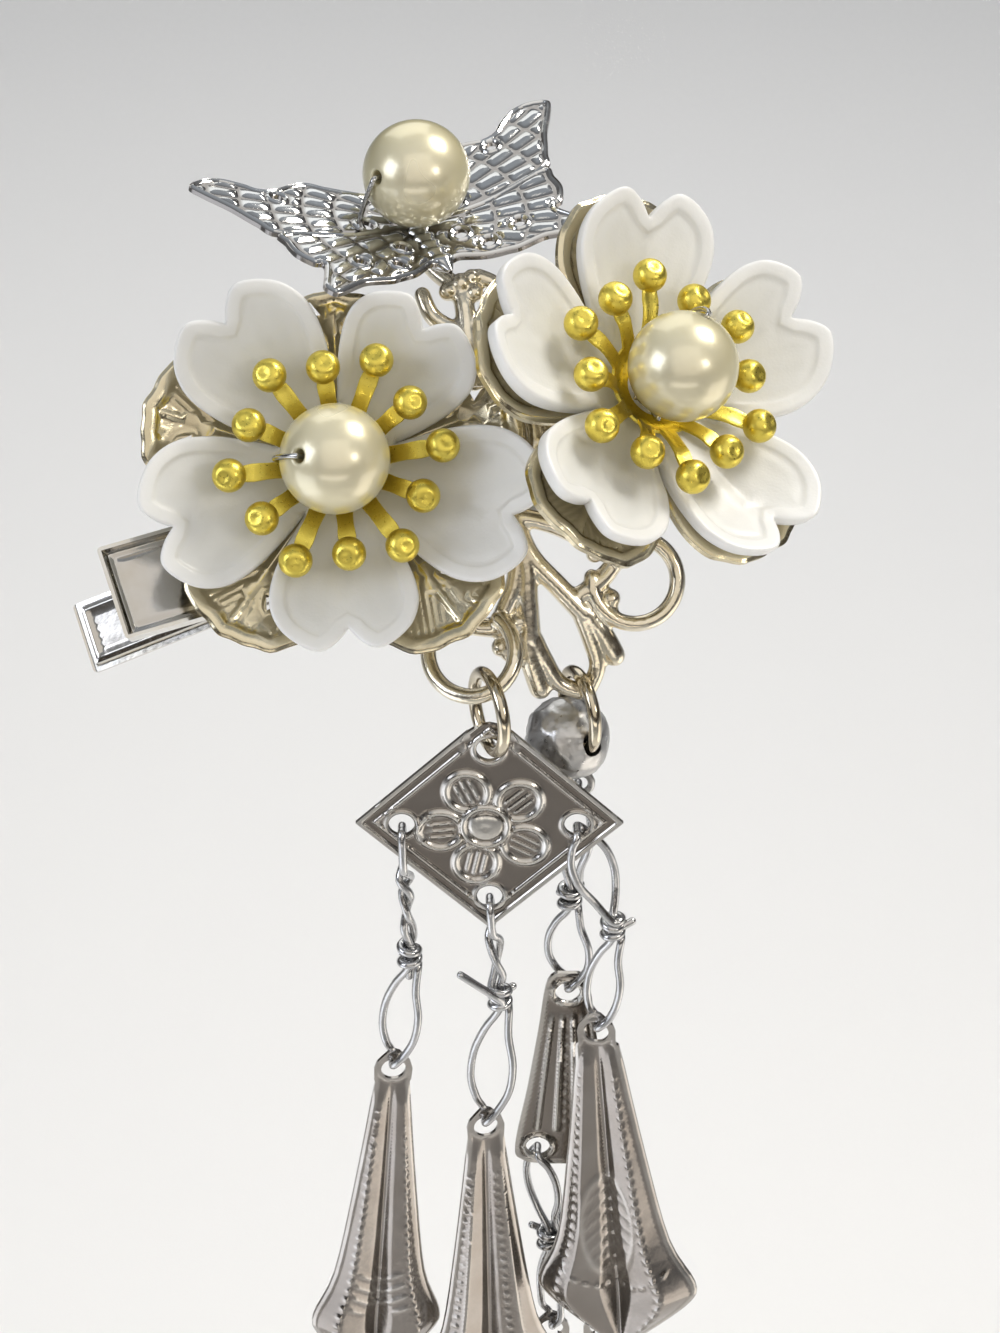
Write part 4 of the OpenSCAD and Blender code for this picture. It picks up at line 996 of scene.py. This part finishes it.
def jump_ring(pivot):
    """A jump ring with the fine gap of its closed joint, turned up out of sight"""
    return moved(moved(ring(RING_R, RING_WIRE, (-88.5, 268.5), 20, 96), turned(z=105)), hung(pivot))


def diamond_plate():
    """The stamped diamond: a double raised rim, a five-petal flower and rimmed holes"""
    shoulder = [(1.65, PLATE_H * 0.84), (2.25, 7.3), (1.9, 8.05), (1.1, 8.65)]
    outline = [(-PLATE_W, 0), (0, -PLATE_H), (PLATE_W, 0)] + shoulder + [(0, 8.9)]
    outline += [(-x, y) for x, y in shoulder[::-1]]
    holes = [(0, 6.6), SIDE_HOLE, (-SIDE_HOLE[0], SIDE_HOLE[1]), LOW_HOLE]
    diamond = np.array([(-PLATE_W, 0), (0, -PLATE_H), (PLATE_W, 0), (0, PLATE_H)])

    def relief(x, y, gap):
        edge = edge_gap(np.column_stack((x, y)), [diamond])
        height = 0.22 * step_up(0.45 - edge, 0, 0.16) + 0.22 * bump(edge, 1.05, 0.26)
        height = np.maximum(height, 0.16 * bump(nearest(x, y, holes), HOLE_R + 0.2, 0.32))
        flower = 0 * x
        for a in np.radians(-102 + 72 * np.arange(5)):
            cx, cy = -0.3 + 3.45 * math.cos(a), -0.4 + 3.45 * math.sin(a)
            u = (x - cx) * math.cos(a) + (y - cy) * math.sin(a)
            v = -(x - cx) * math.sin(a) + (y - cy) * math.cos(a)
            r = np.hypot(u / 1.05, v)
            ribs = 0.17 * bump(np.mod(v + 0.3, 0.6) - 0.3, 0, 0.24) * step_up(1.25 - r, 0, 0.3)
            flower = np.maximum(flower, 0.3 * bump(r, 1.62, 0.46) + ribs)
        r = np.hypot(x + 0.3, y + 0.4)
        dome = 0.3 * np.sqrt(np.clip(1 - (r / 1.35) ** 2, 0, 1)) - 0.08 * bump(r, 0, 0.5)
        flower = np.where(r < 2.1, 0.3 * bump(r, 1.75, 0.42) + dome, flower)
        return height + flower * step_up(edge, 1.3, 1.6)

    gaps = (0.08, 0.18, 0.28, 0.36, 0.44, 0.56, 0.7, 0.8, 0.9, 1.0, 1.1, 1.2, 1.32)
    shape = stamped(outline, [round_loop(h, HOLE_R, 26) for h in holes], 0.14, 0.34, relief, upright_place,
                    under=0.85, shade_under=0.15, gaps=gaps)
    return moved(shape, turned(at=PLATE_MID))


def about(middle, a, r, z):
    """A point at an angle about the upright, from the front towards the right"""
    a = math.radians(a)
    return np.array((middle[0] + r * math.sin(a), middle[1] - r * math.cos(a), z))


def twisted(turns):
    """Rows of a strand whose pair is twisted: share of the way, distance off the axis, angle"""
    wound = zip((0.42, 0.55, 0.7, 0.85), (0.5, 0.38, 0.38, 0.38), range(90, 361, 90))
    return ((0, 0.55, 0), (0.05, 0.85, 0), (0.12, 0.95, 0), (0.3, 0.9, 0), *(
        (share, off, angle * turns / 3) for share, off, angle in wound))


def opened(start, wide):
    """Rows of a strand whose pair stands open"""
    return ((0, 0.55, 0), (0.05, 0.9, 0.3 * start), (0.14, 1.2, 0.8 * start), (0.32, wide, start),
            (0.55, wide, start), (0.78, wide * 0.6, start))


def link(above, knot, below, upper, lower, tails, above_r=HOLE_R):
    """A wire looped through a hole above and a hole below, and wound on itself between them"""
    above, knot, below = (np.asarray(p, float) for p in (above, knot, below))
    top = above - (0, 0, above_r - LINK_WIRE - 0.08)
    foot = below + (0, 0, HOLE_R - LINK_WIRE - 0.08)

    def strand(hole, end, table, side):
        return [about(hole + (end - hole) * s, a + side, r, hole[2] + (end[2] - hole[2]) * s)
                for s, r, a in table]

    def half(hole, table, way, lead, tail):
        """The wire from its tail round the knot to the far side of the hole, and back to the knot"""
        end = knot + (0, 0, way * WRAP_HALF)
        start = table[-1][2] + lead
        wraps = [about(knot, start + 360 * WRAP_TURNS * i / 9, WRAP_R, knot[2] + way * (WRAP_HALF - 0.1 * i))
                 for i in range(9, 0, -1)]
        return ([wraps[0] + np.array(tail)] + wraps + [about(end, start, WRAP_R, end[2])]
                + strand(hole, end, table, 0)[::-1] + [hole] + strand(hole, end, table, 180) + [end])

    route = half(top, upper, 1, 40, tails[0]) + half(foot, lower, -1, 20, tails[1])[::-1]
    return tube(smooth_route(route, 4), LINK_WIRE, 12)


DROP_LENGTH, DROP_HALF = 34, 5.8
SMALL_LENGTH, SMALL_HALF = 13, 2
SMALL_DROPS = {side: (x, REAR_PIVOT[1], -80.5) for side, x in (("left", 3), ("right", 7.3))}
DROP_EDGE = ((0.04, 0.26), (0.1, 0.3), (0.37, 0.48), (0.65, 0.71), (0.79, 1), (0.85, 0.93), (0.93, 0.5),
             (1, 0.04))
PLEATS = ((-1, 0.1), (-0.6, -0.2), (-0.2, -0.06), (0, 0.14), (0.2, -0.06), (0.6, -0.2), (1, 0.1))


def leaf_drop(length, half, marks):
    """A pleated leaf below a tab with a hole. marks gives the height of its stamped pattern."""
    edge, pleats = smooth_route(DROP_EDGE, 4), np.array(PLEATS)
    right = [(half * s, -length * t) for t, s in edge[::-1]]
    right += [(1.5, -1.1), (1.55, 0), (1.35, 0.7), (0.95, 1.2), (0.45, 1.75)]
    outline = right + [(0, 1.95)] + [(-x, y) for x, y in right[::-1]]
    outline = [p for k, p in enumerate(outline) if k == 0 or math.dist(p, outline[k - 1]) > 0.05]

    def across(x, y):
        wide = half * np.interp(-y / length, edge[:, 0], edge[:, 1])
        return wide, x / np.maximum(wide, 0.3)

    def relief(x, y, gap):
        return 0.12 * step_up(0.45 - gap, 0, 0.2) + marks(x, y, across(x, y)[1], -y / length)

    def place(x, y, z):
        wide, share = across(x, y)
        fold = np.interp(np.clip(share, -1, 1), pleats[:, 0], pleats[:, 1]) * wide
        return np.column_stack((x, fold * np.interp(-y / length, (0.02, 0.06, 0.1), (0, 0.5, 1)) - z, y))

    return stamped(outline, [round_loop((0, 0), HOLE_R, 24)], 0.22, 0.3, relief, place, under=1.0, shade_under=0.1,
                   gaps=(0.1, 0.22, 0.34, 0.48))


def dots(along, across, line, pitch, radius):
    """A row of raised dots"""
    step = np.mod(along, pitch) - pitch / 2
    return step_up(radius - np.hypot(step, across - line), 0, radius * 0.7)


def marks_left(x, y, c, t):
    """Dotted rows beside both edges and three chevrons"""
    rows = dots(y, np.abs(c) * 5, 3.3, 0.95, 0.34)
    chevron = bump(np.mod(-y + np.abs(x) * 0.8, 1.4) - 0.7, 0, 0.35) * step_up(0.55 - np.abs(c), 0, 0.08)
    chevron = chevron * step_up(t, 0.63, 0.65) * step_up(0.78 - t, 0, 0.02)
    return step_up(t, 0.1, 0.14) * step_up(0.9 - t, 0, 0.03) * (0.16 * rows + 0.14 * chevron)


def marks_middle(x, y, c, t):
    """A dotted row on each outer pleat and a crease down both sides"""
    rows = 0.16 * dots(y, c * 5, 1.9, 0.95, 0.32) + 0.14 * dots(y, c * 5, -3.9, 0.95, 0.32)
    return step_up(t, 0.12, 0.16) * step_up(0.92 - t, 0, 0.03) * (rows + 0.1 * bump(np.abs(c), 0.62, 0.07))


def marks_right(x, y, c, t):
    """Long dotted rows, a dotted foot and a stamped leaf"""
    rows = dots(y, c * 6, 3.3, 1.0, 0.36) + dots(y, c * 6, -4.6, 1.0, 0.34)
    foot = dots(x, y + 27.2 - 0.12 * x * x, 0, 0.95, 0.34) * step_up(t, 0.72, 0.74)
    off = np.hypot((x + 0.3) / 2.1, (y + 20.5) / 5.2)
    leaf = bump(off, 1, 0.16) + 0.8 * bump(x + 0.3, 0, 0.28) * step_up(1 - off, 0, 0.1)
    leaf = leaf + 0.5 * bump(np.mod(y + np.abs(x + 0.3), 1.3) - 0.65, 0, 0.3) * step_up(0.95 - off, 0, 0.1)
    return step_up(t, 0.1, 0.14) * step_up(0.95 - t, 0, 0.03) * (0.16 * rows + 0.15 * foot + 0.08 * leaf)


def marks_small(x, y, c, t):
    """A plain mid rib"""
    return 0.12 * bump(x, 0, 0.3) * step_up(t, 0.12, 0.2)


def fan_plate():
    """The fan-shaped plate with four long ribs"""
    right = [(1.6, 1.2), (2.35, -4), (3.2, -10), (4.2, -16.2), (3.6, -17.6), (2.2, -18)]
    left = [(-x, y) for x, y in right[::-1]]
    outline = rounded(left[-1:] + [(0, 1.95)] + right + [(0, -18.05)] + left[:-1], 6)
    holes = ((0, 0),) + FAN_HOLES

    def relief(x, y, gap):
        spread = np.interp(-y, (0, 16), (0.4, 1))
        ribs = 0.22 * sum(bump(x / spread, line, 0.42) for line in (-2.55, -0.85, 0.85, 2.55))
        ribs = ribs + 0.1 * dots(y, x / spread, 0, 1.0, 0.28)
        field = ribs * step_up(-y, 2, 3) * step_up(14.8 + y, 0, 0.6)
        rims = 0.15 * bump(nearest(x, y, holes), HOLE_R + 0.22, 0.3) + 0.12 * step_up(0.5 - gap, 0, 0.2)
        return field + rims

    shape = stamped(outline, [round_loop(h, HOLE_R, 24) for h in holes], 0.24, 0.34, relief, upright_place,
                    under=0.85, shade_under=0.15)
    return moved(shape, turned(at=FAN_TOP))


def hammered_ball():
    """The hollow-looking ball: a dented skin with a passage for its jump ring, and an eye below"""
    skin = bmesh.new()
    bmesh.ops.create_icosphere(skin, subdivisions=5, radius=BALL_R)
    for v in skin.verts:
        way = v.co.normalized()
        dent = abs(noise.noise(way * 1.7)) + 0.5 * abs(noise.noise(way * 3.6 + Vector((4, 1, 7))))
        v.co = way * (BALL_R - 0.02 - DENT * dent)
    mesh = bpy.data.meshes.new("ball_skin")
    skin.to_mesh(mesh)
    skin.free()
    mesh.transform(Matrix.Translation(BALL_MID))
    work = linked("ball_skin", mesh)
    points, faces, _ = lathe([
        (RING_R + PASSAGE_R * math.cos(a), PASSAGE_R * math.sin(a)) for a in around(20)], 72)
    foot = REAR_PIVOT - (0, 0, 2 * RING_R - RING_HANG)
    cutters = []
    for degree in PASSAGE_SWAY:
        place = swung(foot, degree, RING_FACING) @ hung(REAR_PIVOT)
        mesh = bpy.data.meshes.new("passage")
        mesh.from_pydata(placed(points, place).tolist(), [], faces)
        cutters.append(linked("passage", mesh))
        cut = work.modifiers.new("passage", "BOOLEAN")
        cut.operation, cut.object, cut.solver = "DIFFERENCE", cutters[-1], "EXACT"
    made = taken(work)
    for cutter in cutters:
        bpy.data.objects.remove(cutter)
    eye = moved(ring(EYE_R, EYE_WIRE, (-180, 180), 12, 48), turned(at=BALL_EYE) @ turned(x=90))
    necks = [tube([BALL_EYE + low, BALL_EYE + high], EYE_WIRE, 10)
             for low, high in (((-0.35, 0, 0.93), (-0.45, 0.1, 1.5)), ((0.35, 0, 0.93), (0.25, 0.1, 1.6)))]
    return join(made, eye, *necks)


# Panel settings


def length(name, description, default, low, high):
    """A length property in millimetres"""
    return FloatProperty(
        name=name, description=f"{description}, in millimetres", default=default, min=low, max=high)


class HairpinSizes(bpy.types.PropertyGroup):
    """Sizes of the hairpin's pieces"""
    pearl_radius: length("Pearl radius", "Radius of the three pearls", 4.0, 3.8, 4.1)
    blossom_radius: length("Blossom radius", "Radius of a blossom to its petals' tips", 14.9, 14.0, 15.2)
    petal_thick: length("Petal thickness", "Thickness of the moulded petals", 1.2, 1.0, 1.4)
    leaf_radius: length("Metal petal radius", "Radius of the metal flower behind a blossom", 15.8, 15.0, 16.4)
    floor_drop: FloatProperty(
        name="Floor", description="Height of the floor, in the model's frame", default=-0.42,
        subtype="DISTANCE", unit="LENGTH")


def colour(name, description, text):
    """A colour property with an sRGB default"""
    return FloatVectorProperty(name=name, description=description, subtype="COLOR", size=3, min=0, max=1,
                               default=srgb(text)[:3])


class HairpinColours(bpy.types.PropertyGroup):
    """Colours of the hairpin's finishes"""
    petal_white: colour("Petals", "Body colour of the frosted petals", "f3f4f2")
    pearl_cream: colour("Pearls", "Body colour of the pearls", "e5dec3")
    stamen_gold: colour("Stamens", "Colour of the matte gold stamens", "ecd660")
    pale_plate: colour("Metal petals", "Colour of the champagne plate", "ded6bf")
    chrome: colour("Chrome", "Colour of the bright plate", "dadde0")
    aluminium: colour("Aluminium", "Colour of the stamped aluminium", "cfcfcd")
    floor: colour("Floor", "Colour of the plain floor", "d9d8d6")


# Operators


class HAIRPIN_OT_materials(bpy.types.Operator):
    """Make the hairpin's materials"""
    bl_idname = "hairpin.materials"
    bl_label = "Materials"

    def execute(self, context):
        make_materials(context.scene.hairpin_colours)
        return {"FINISHED"}


class HAIRPIN_OT_blossoms(bpy.types.Operator):
    """Make the frosted blossoms, the metal flowers behind them and their stamens"""
    bl_idname = "hairpin.blossoms"
    bl_label = "Blossoms"

    def execute(self, context):
        sizes = context.scene.hairpin_sizes
        for side, place, own, turn, leaves, leaf_turn, stamen_turn in (
                ("left", LEFT, BLOSSOM_LEFT, 56, LEAVES_LEFT, 20, 8),
                ("right", RIGHT, BLOSSOM_RIGHT, 22, LEAVES_RIGHT, 24, 37)):
            petals = blossom(own, sizes.blossom_radius, sizes.petal_thick)
            for name, shape, spin, finish, node, crease in (
                    ("frosted_petals", petals, turn, "frosted_resin", "blossom", 60),
                    ("metal_petals", leaf_flower(leaves, sizes.leaf_radius), leaf_turn, "champagne_plate",
                     "back_flower", 60),
                    ("stamen_head", stamen_head(sizes), stamen_turn, "matte_gold", "stamens", 50)):
                shape = moved(shape, place @ turned(z=spin))
                solid(f"{name}_{side}", shape, finish, f"{node}_{side}", crease=crease)
        return {"FINISHED"}


class HAIRPIN_OT_pearls(bpy.types.Operator):
    """Make the three drilled pearls and their wires"""
    bl_idname = "hairpin.pearls"
    bl_label = "Pearls"

    def execute(self, context):
        sizes = context.scene.hairpin_sizes
        r, up = sizes.pearl_radius, pearl_up(sizes)
        for side, flower, lift, bearing, lean in (
                ("left", LEFT, up, 180, 38), ("right", RIGHT, up, 77, 46),
                ("top", FLY, TOP_SEAT + r, *TOP_BORE)):
            place = flower @ turned(at=(0, 0, lift)) @ turned(z=bearing)
            solid(f"drilled_pearl_{side}", moved(drilled_pearl(r), place @ turned(y=lean)), "pearl_lacquer",
                  f"pearl_{side}", crease=70)
            wire = top_pearl_wire(r) if side == "top" else moved(pearl_loop(r, lean, up + 0.1), place)
            solid(f"bead_wire_{side}", wire, "craft_wire", f"pearl_wire_{side}")
        return {"FINISHED"}


class HAIRPIN_OT_butterfly(bpy.types.Operator):
    """Make the stamped butterfly"""
    bl_idname = "hairpin.butterfly"
    bl_label = "Butterfly"

    def execute(self, context):
        solid("stamped_butterfly", butterfly(), "stamped_chrome", "butterfly", crease=60)
        return {"FINISHED"}


class HAIRPIN_OT_filigree(bpy.types.Operator):
    """Make the cast filigree base"""
    bl_idname = "hairpin.filigree"
    bl_label = "Filigree base"

    def execute(self, context):
        solid("cast_filigree", filigree(), "cast_pale_gold", "filigree_base", crease=80)
        return {"FINISHED"}


class HAIRPIN_OT_clip(bpy.types.Operator):
    """Make the sprung clip: two jaws, the pin and the spring"""
    bl_idname = "hairpin.clip"
    bl_label = "Clip"

    def execute(self, context):
        solid("pressed_outer_jaw", jaw(1, width=CLIP_WIDTH, lever=14.5, ear=1.9), "nickel_plate",
              "clip_outer_jaw", crease=40)
        solid("pressed_inner_jaw", jaw(-1, width=5.6, lever=19, ear=1.3), "nickel_plate",
              "clip_inner_jaw", "inner_jaw", 40)
        solid("hinge_pin", hinge_pin(CLIP_WIDTH), "spring_steel", "clip_pin")
        solid("coil_spring", spring_coil(), "spring_steel", "clip_spring")
        return {"FINISHED"}


class HAIRPIN_OT_rings(bpy.types.Operator):
    """Make the two jump rings"""
    bl_idname = "hairpin.rings"
    bl_label = "Jump rings"

    def execute(self, context):
        for side, pivot in (("front", FRONT_PIVOT), ("rear", REAR_PIVOT)):
            solid(f"split_ring_{side}", jump_ring(pivot), "ring_plate", f"jump_ring_{side}", f"{side}_ring")
        return {"FINISHED"}


class HAIRPIN_OT_front_strand(bpy.types.Operator):
    """Make the diamond plate, its three wound links and its three pleated leaves"""
    bl_idname = "hairpin.front_strand"
    bl_label = "Front strand"

    def execute(self, context):
        solid("stamped_diamond", diamond_plate(), "stamped_aluminium", "diamond_plate", "front_strand", 60)
        for side, hole, knot, drop, upper, lower, tails, lean, turn, half, marks in (
                ("left", (-SIDE_HOLE[0], SIDE_HOLE[1]), (-8.6, -37.1), (-10.1, -48.4), twisted(4),
                 opened(50, 1.7), ((0.9, -0.3, 0.5), (-0.3, -0.6, -2)), 4, 8, 0.93 * DROP_HALF, marks_left),
                ("middle", LOW_HOLE, (-1.5, -41.3), (-2.7, -54.4), twisted(2), opened(60, 1.8),
                 ((-3.2, -0.8, 3.2), (0.9, 0.5, 0.3)), -1, 12, DROP_HALF, marks_middle),
                ("right", SIDE_HOLE, (7.3, -34.4), (6.2, -44.6), opened(-50, 1.8), opened(50, 1.5),
                 ((0.8, 0.3, 0.3), (-0.8, -0.3, 0.3)), -4.5, -10, 1.15 * DROP_HALF, marks_right)):
            knot, drop = ((x, FRONT_PIVOT[1], z) for x, z in (knot, drop))
            wire = link(PLATE_MID + (hole[0], 0, hole[1]), knot, drop, upper, lower, tails)
            solid(f"wound_link_{side}", wire, "aluminium_wire", f"wire_link_{side}", "front_strand")
            leaf = leaf_drop(DROP_LENGTH, half, marks)
            leaf = moved(leaf, turned(at=drop) @ turned(z=turn) @ turned(y=lean))
            solid(f"pleated_leaf_{side}", leaf, "leaf_aluminium", f"leaf_drop_{side}", "front_strand", 60)
        return {"FINISHED"}


class HAIRPIN_OT_rear_strand(bpy.types.Operator):
    """Make the hammered ball, the fan plate, their wound links and the small leaves"""
    bl_idname = "hairpin.rear_strand"
    bl_label = "Rear strand"

    def execute(self, context):
        solid("hammered_ball", hammered_ball(), "hammered_aluminium", "silver_ball", "rear_strand", 60)
        solid("stamped_fan", fan_plate(), "stamped_aluminium", "fan_plate", "rear_strand", 60)
        left, right = (FAN_TOP + (x, 0, z) for x, z in FAN_HOLES)
        for side, above, knot, below, upper, lower, tails, above_r in (
                ("top", BALL_EYE, (4, -34.2), FAN_TOP, opened(50, 1.5), opened(60, 1.8),
                 ((0.9, 0.2, 0.4), (-0.9, -0.2, 0.2)), 0.7),
                ("left", left, (2.6, -70.2), SMALL_DROPS["left"], opened(50, 1.6), opened(50, 1.1),
                 ((-1.4, -0.6, 1.2), (2.2, -0.4, 5.4)), HOLE_R),
                ("right", right, (6.6, -71.5), SMALL_DROPS["right"], opened(50, 1.3), opened(50, 1.1),
                 ((3.6, -0.6, 1), (-0.8, 0.3, 0.3)), HOLE_R)):
            wire = link(above, (knot[0], REAR_PIVOT[1], knot[1]), below, upper, lower, tails, above_r)
            solid(f"wound_rear_link_{side}", wire, "aluminium_wire", f"rear_link_{side}", "rear_strand")
        for side, at in SMALL_DROPS.items():
            leaf = moved(leaf_drop(SMALL_LENGTH, SMALL_HALF, marks_small), turned(at=at))
            solid(f"small_leaf_{side}", leaf, "leaf_aluminium", f"small_drop_{side}", "rear_strand", 60)
        return {"FINISHED"}


# The photograph's viewpoint, in metres, and a lens that gives its angle of view
CAMERA_AT = (-0.0015, -0.2029, 0.10935)
LENS_MM, SENSOR_MM = 82.6, 36
PAPER_TOOTH_MM = 0.6

# Each lamp: its name, where it stands, what it faces, its width and height, its power and its tint
MIDDLE = (0, 0, -0.02)
LAMPS = (
    ("key", (0.26, 0.12, 0.36), MIDDLE, 0.17, 0.17, 1.7, "fffaf2"),
    ("front", (0.06, -0.52, 0.4), MIDDLE, 0.75, 0.75, 1.3, "fff6ea"),
    ("side", (0.45, -0.4, 0.27), MIDDLE, 0.15, 0.15, 0.5, "fffaf2"),
    ("fill", (-0.42, -0.2, 0.2), MIDDLE, 0.26, 0.26, 0.9, "eef3ff"),
    ("low front", (0, -0.6, -0.13), MIDDLE, 0.6, 0.09, 0.3, "fff8ee"),
    ("back", (-0.1, 0.45, 0.42), (0, 0, 0), 0.5, 0.5, 0.85, "fbfaf6"),
    ("low left", (-0.34, -0.19, -0.26), (0, 0, -0.06), 0.34, 0.34, 0.5, "f2f6ff"),
    ("low right", (0.36, -0.1, -0.27), (0, 0, -0.06), 0.34, 0.34, 0.45, "fff6ea"),
    ("floor", (0, 0.85, 0.6), (0, 0.8, -0.42), 0.9, 0.9, 8.0, "ffffff"))


class HAIRPIN_OT_stage(bpy.types.Operator):
    """Make the plain floor, the soft lights and the camera"""
    bl_idname = "hairpin.stage"
    bl_label = "Stage"

    def execute(self, context):
        # Plain uncoated paper: matt, with a faint tooth that keeps its light soft
        paper, tree, shader, where = bare_material("plain_paper_floor")
        tooth = add_node(tree, "ShaderNodeTexNoise", {
            "Vector": where, "Scale": 1 / (PAPER_TOOTH_MM * MM), "Detail": 3.0}).outputs["Fac"]
        press = add_node(tree, "ShaderNodeBump", {"Height": tooth, "Distance": 0.02 * MM}).outputs[0]
        tone = tuple(context.scene.hairpin_colours.floor) + (1,)
        feed(shader, {"Normal": press, "Roughness": 0.75, "Base Color": tone})
        mesh = bpy.data.meshes.new("floor")
        half, z = 8.0, context.scene.hairpin_sizes.floor_drop
        corners = ((-half, -half, z), (half, -half, z), (half, half, z), (-half, half, z))
        mesh.from_pydata(corners, [], [(0, 1, 2, 3)])
        mesh.materials.append(paper)
        floor = linked("floor", mesh)
        for name, at, aim, wide, tall, power, tint in LAMPS:
            lamp = bpy.data.lights.new(name, "AREA")
            lamp.shape, lamp.size, lamp.size_y = "RECTANGLE", wide, tall
            lamp.energy, lamp.color = power, srgb(tint)[:3]
            held = linked(name, lamp)
            held.location = at
            held.rotation_euler = (Vector(aim) - Vector(at)).to_track_quat("-Z", "Y").to_euler()
            if name == "floor":
                # It lights the floor alone, so that the bright metal doesn't mirror it
                held.light_linking.receiver_collection = bpy.data.collections.new("floor_light")
                held.light_linking.receiver_collection.objects.link(floor)
        sky = bpy.data.worlds.new("studio")
        sky.use_nodes = True
        tree = sky.node_tree
        tree.nodes.clear()
        way = add_node(tree, "ShaderNodeTexCoord").outputs["Generated"]
        split = add_node(tree, "ShaderNodeSeparateXYZ", {0: way})
        lift = add_node(tree, "ShaderNodeMapRange", {
            "Value": split.outputs["Z"], "From Min": -0.3, "From Max": 0.9})
        ramp = add_node(tree, "ShaderNodeValToRGB", {"Fac": lift.outputs[0]})
        stops = ramp.color_ramp.elements
        stops[0].color, stops[1].color = srgb("3b332d"), srgb("cfd4db")
        stops.new(0.35).color = srgb("5d554e")
        seen = add_node(tree, "ShaderNodeLightPath")
        wall = add_node(tree, "ShaderNodeMix", {
            0: seen.outputs["Is Camera Ray"], 6: ramp.outputs["Color"], 7: srgb("e2e2e0")}, data_type="RGBA")
        glow = add_node(tree, "ShaderNodeBackground", {"Color": wall.outputs[2], "Strength": 0.6})
        add_node(tree, "ShaderNodeOutputWorld", {"Surface": glow.outputs[0]})
        context.scene.world = sky
        lens = bpy.data.cameras.new("camera")
        lens.lens, lens.sensor_width = LENS_MM, SENSOR_MM
        lens.clip_start, lens.clip_end = 0.01, 20
        camera = linked("camera", lens)
        camera.location = CAMERA_AT
        camera.rotation_euler = (math.radians(90 - FACE_TILT), 0, 0)
        context.scene.camera = camera
        context.scene.view_settings.view_transform = "Standard"
        return {"FINISHED"}


class HAIRPIN_PT_panel(bpy.types.Panel):
    """Sizes, colours and pieces of the hairpin"""
    bl_idname = "HAIRPIN_PT_panel"
    bl_label = "Tassel hairpin"
    bl_space_type = "VIEW_3D"
    bl_region_type = "UI"
    bl_category = "Hairpin"

    def draw(self, context):
        for group in (context.scene.hairpin_sizes, context.scene.hairpin_colours):
            box = self.layout.box()
            for name in group.__annotations__:
                box.prop(group, name)
        for step in STEPS:
            self.layout.operator(step.bl_idname)


STEPS = (
    HAIRPIN_OT_materials, HAIRPIN_OT_blossoms, HAIRPIN_OT_pearls, HAIRPIN_OT_butterfly, HAIRPIN_OT_filigree,
    HAIRPIN_OT_clip, HAIRPIN_OT_rings, HAIRPIN_OT_front_strand, HAIRPIN_OT_rear_strand, HAIRPIN_OT_stage)
CLASSES = (HairpinSizes, HairpinColours) + STEPS + (HAIRPIN_PT_panel,)


def register():
    """Adds the classes and the scene's settings"""
    for each in CLASSES:
        bpy.utils.register_class(each)
    bpy.types.Scene.hairpin_sizes = PointerProperty(type=HairpinSizes)
    bpy.types.Scene.hairpin_colours = PointerProperty(type=HairpinColours)


def unregister():
    """Takes them away again"""
    del bpy.types.Scene.hairpin_colours
    del bpy.types.Scene.hairpin_sizes
    for each in reversed(CLASSES):
        bpy.utils.unregister_class(each)


def main():
    """Makes the whole hairpin"""
    register()
    for step in STEPS:
        group, name = step.bl_idname.split(".")
        if getattr(getattr(bpy.ops, group), name)() != {"FINISHED"}:
            raise RuntimeError(f"{step.bl_label} did not finish")


if __name__ == "__main__":
    main()
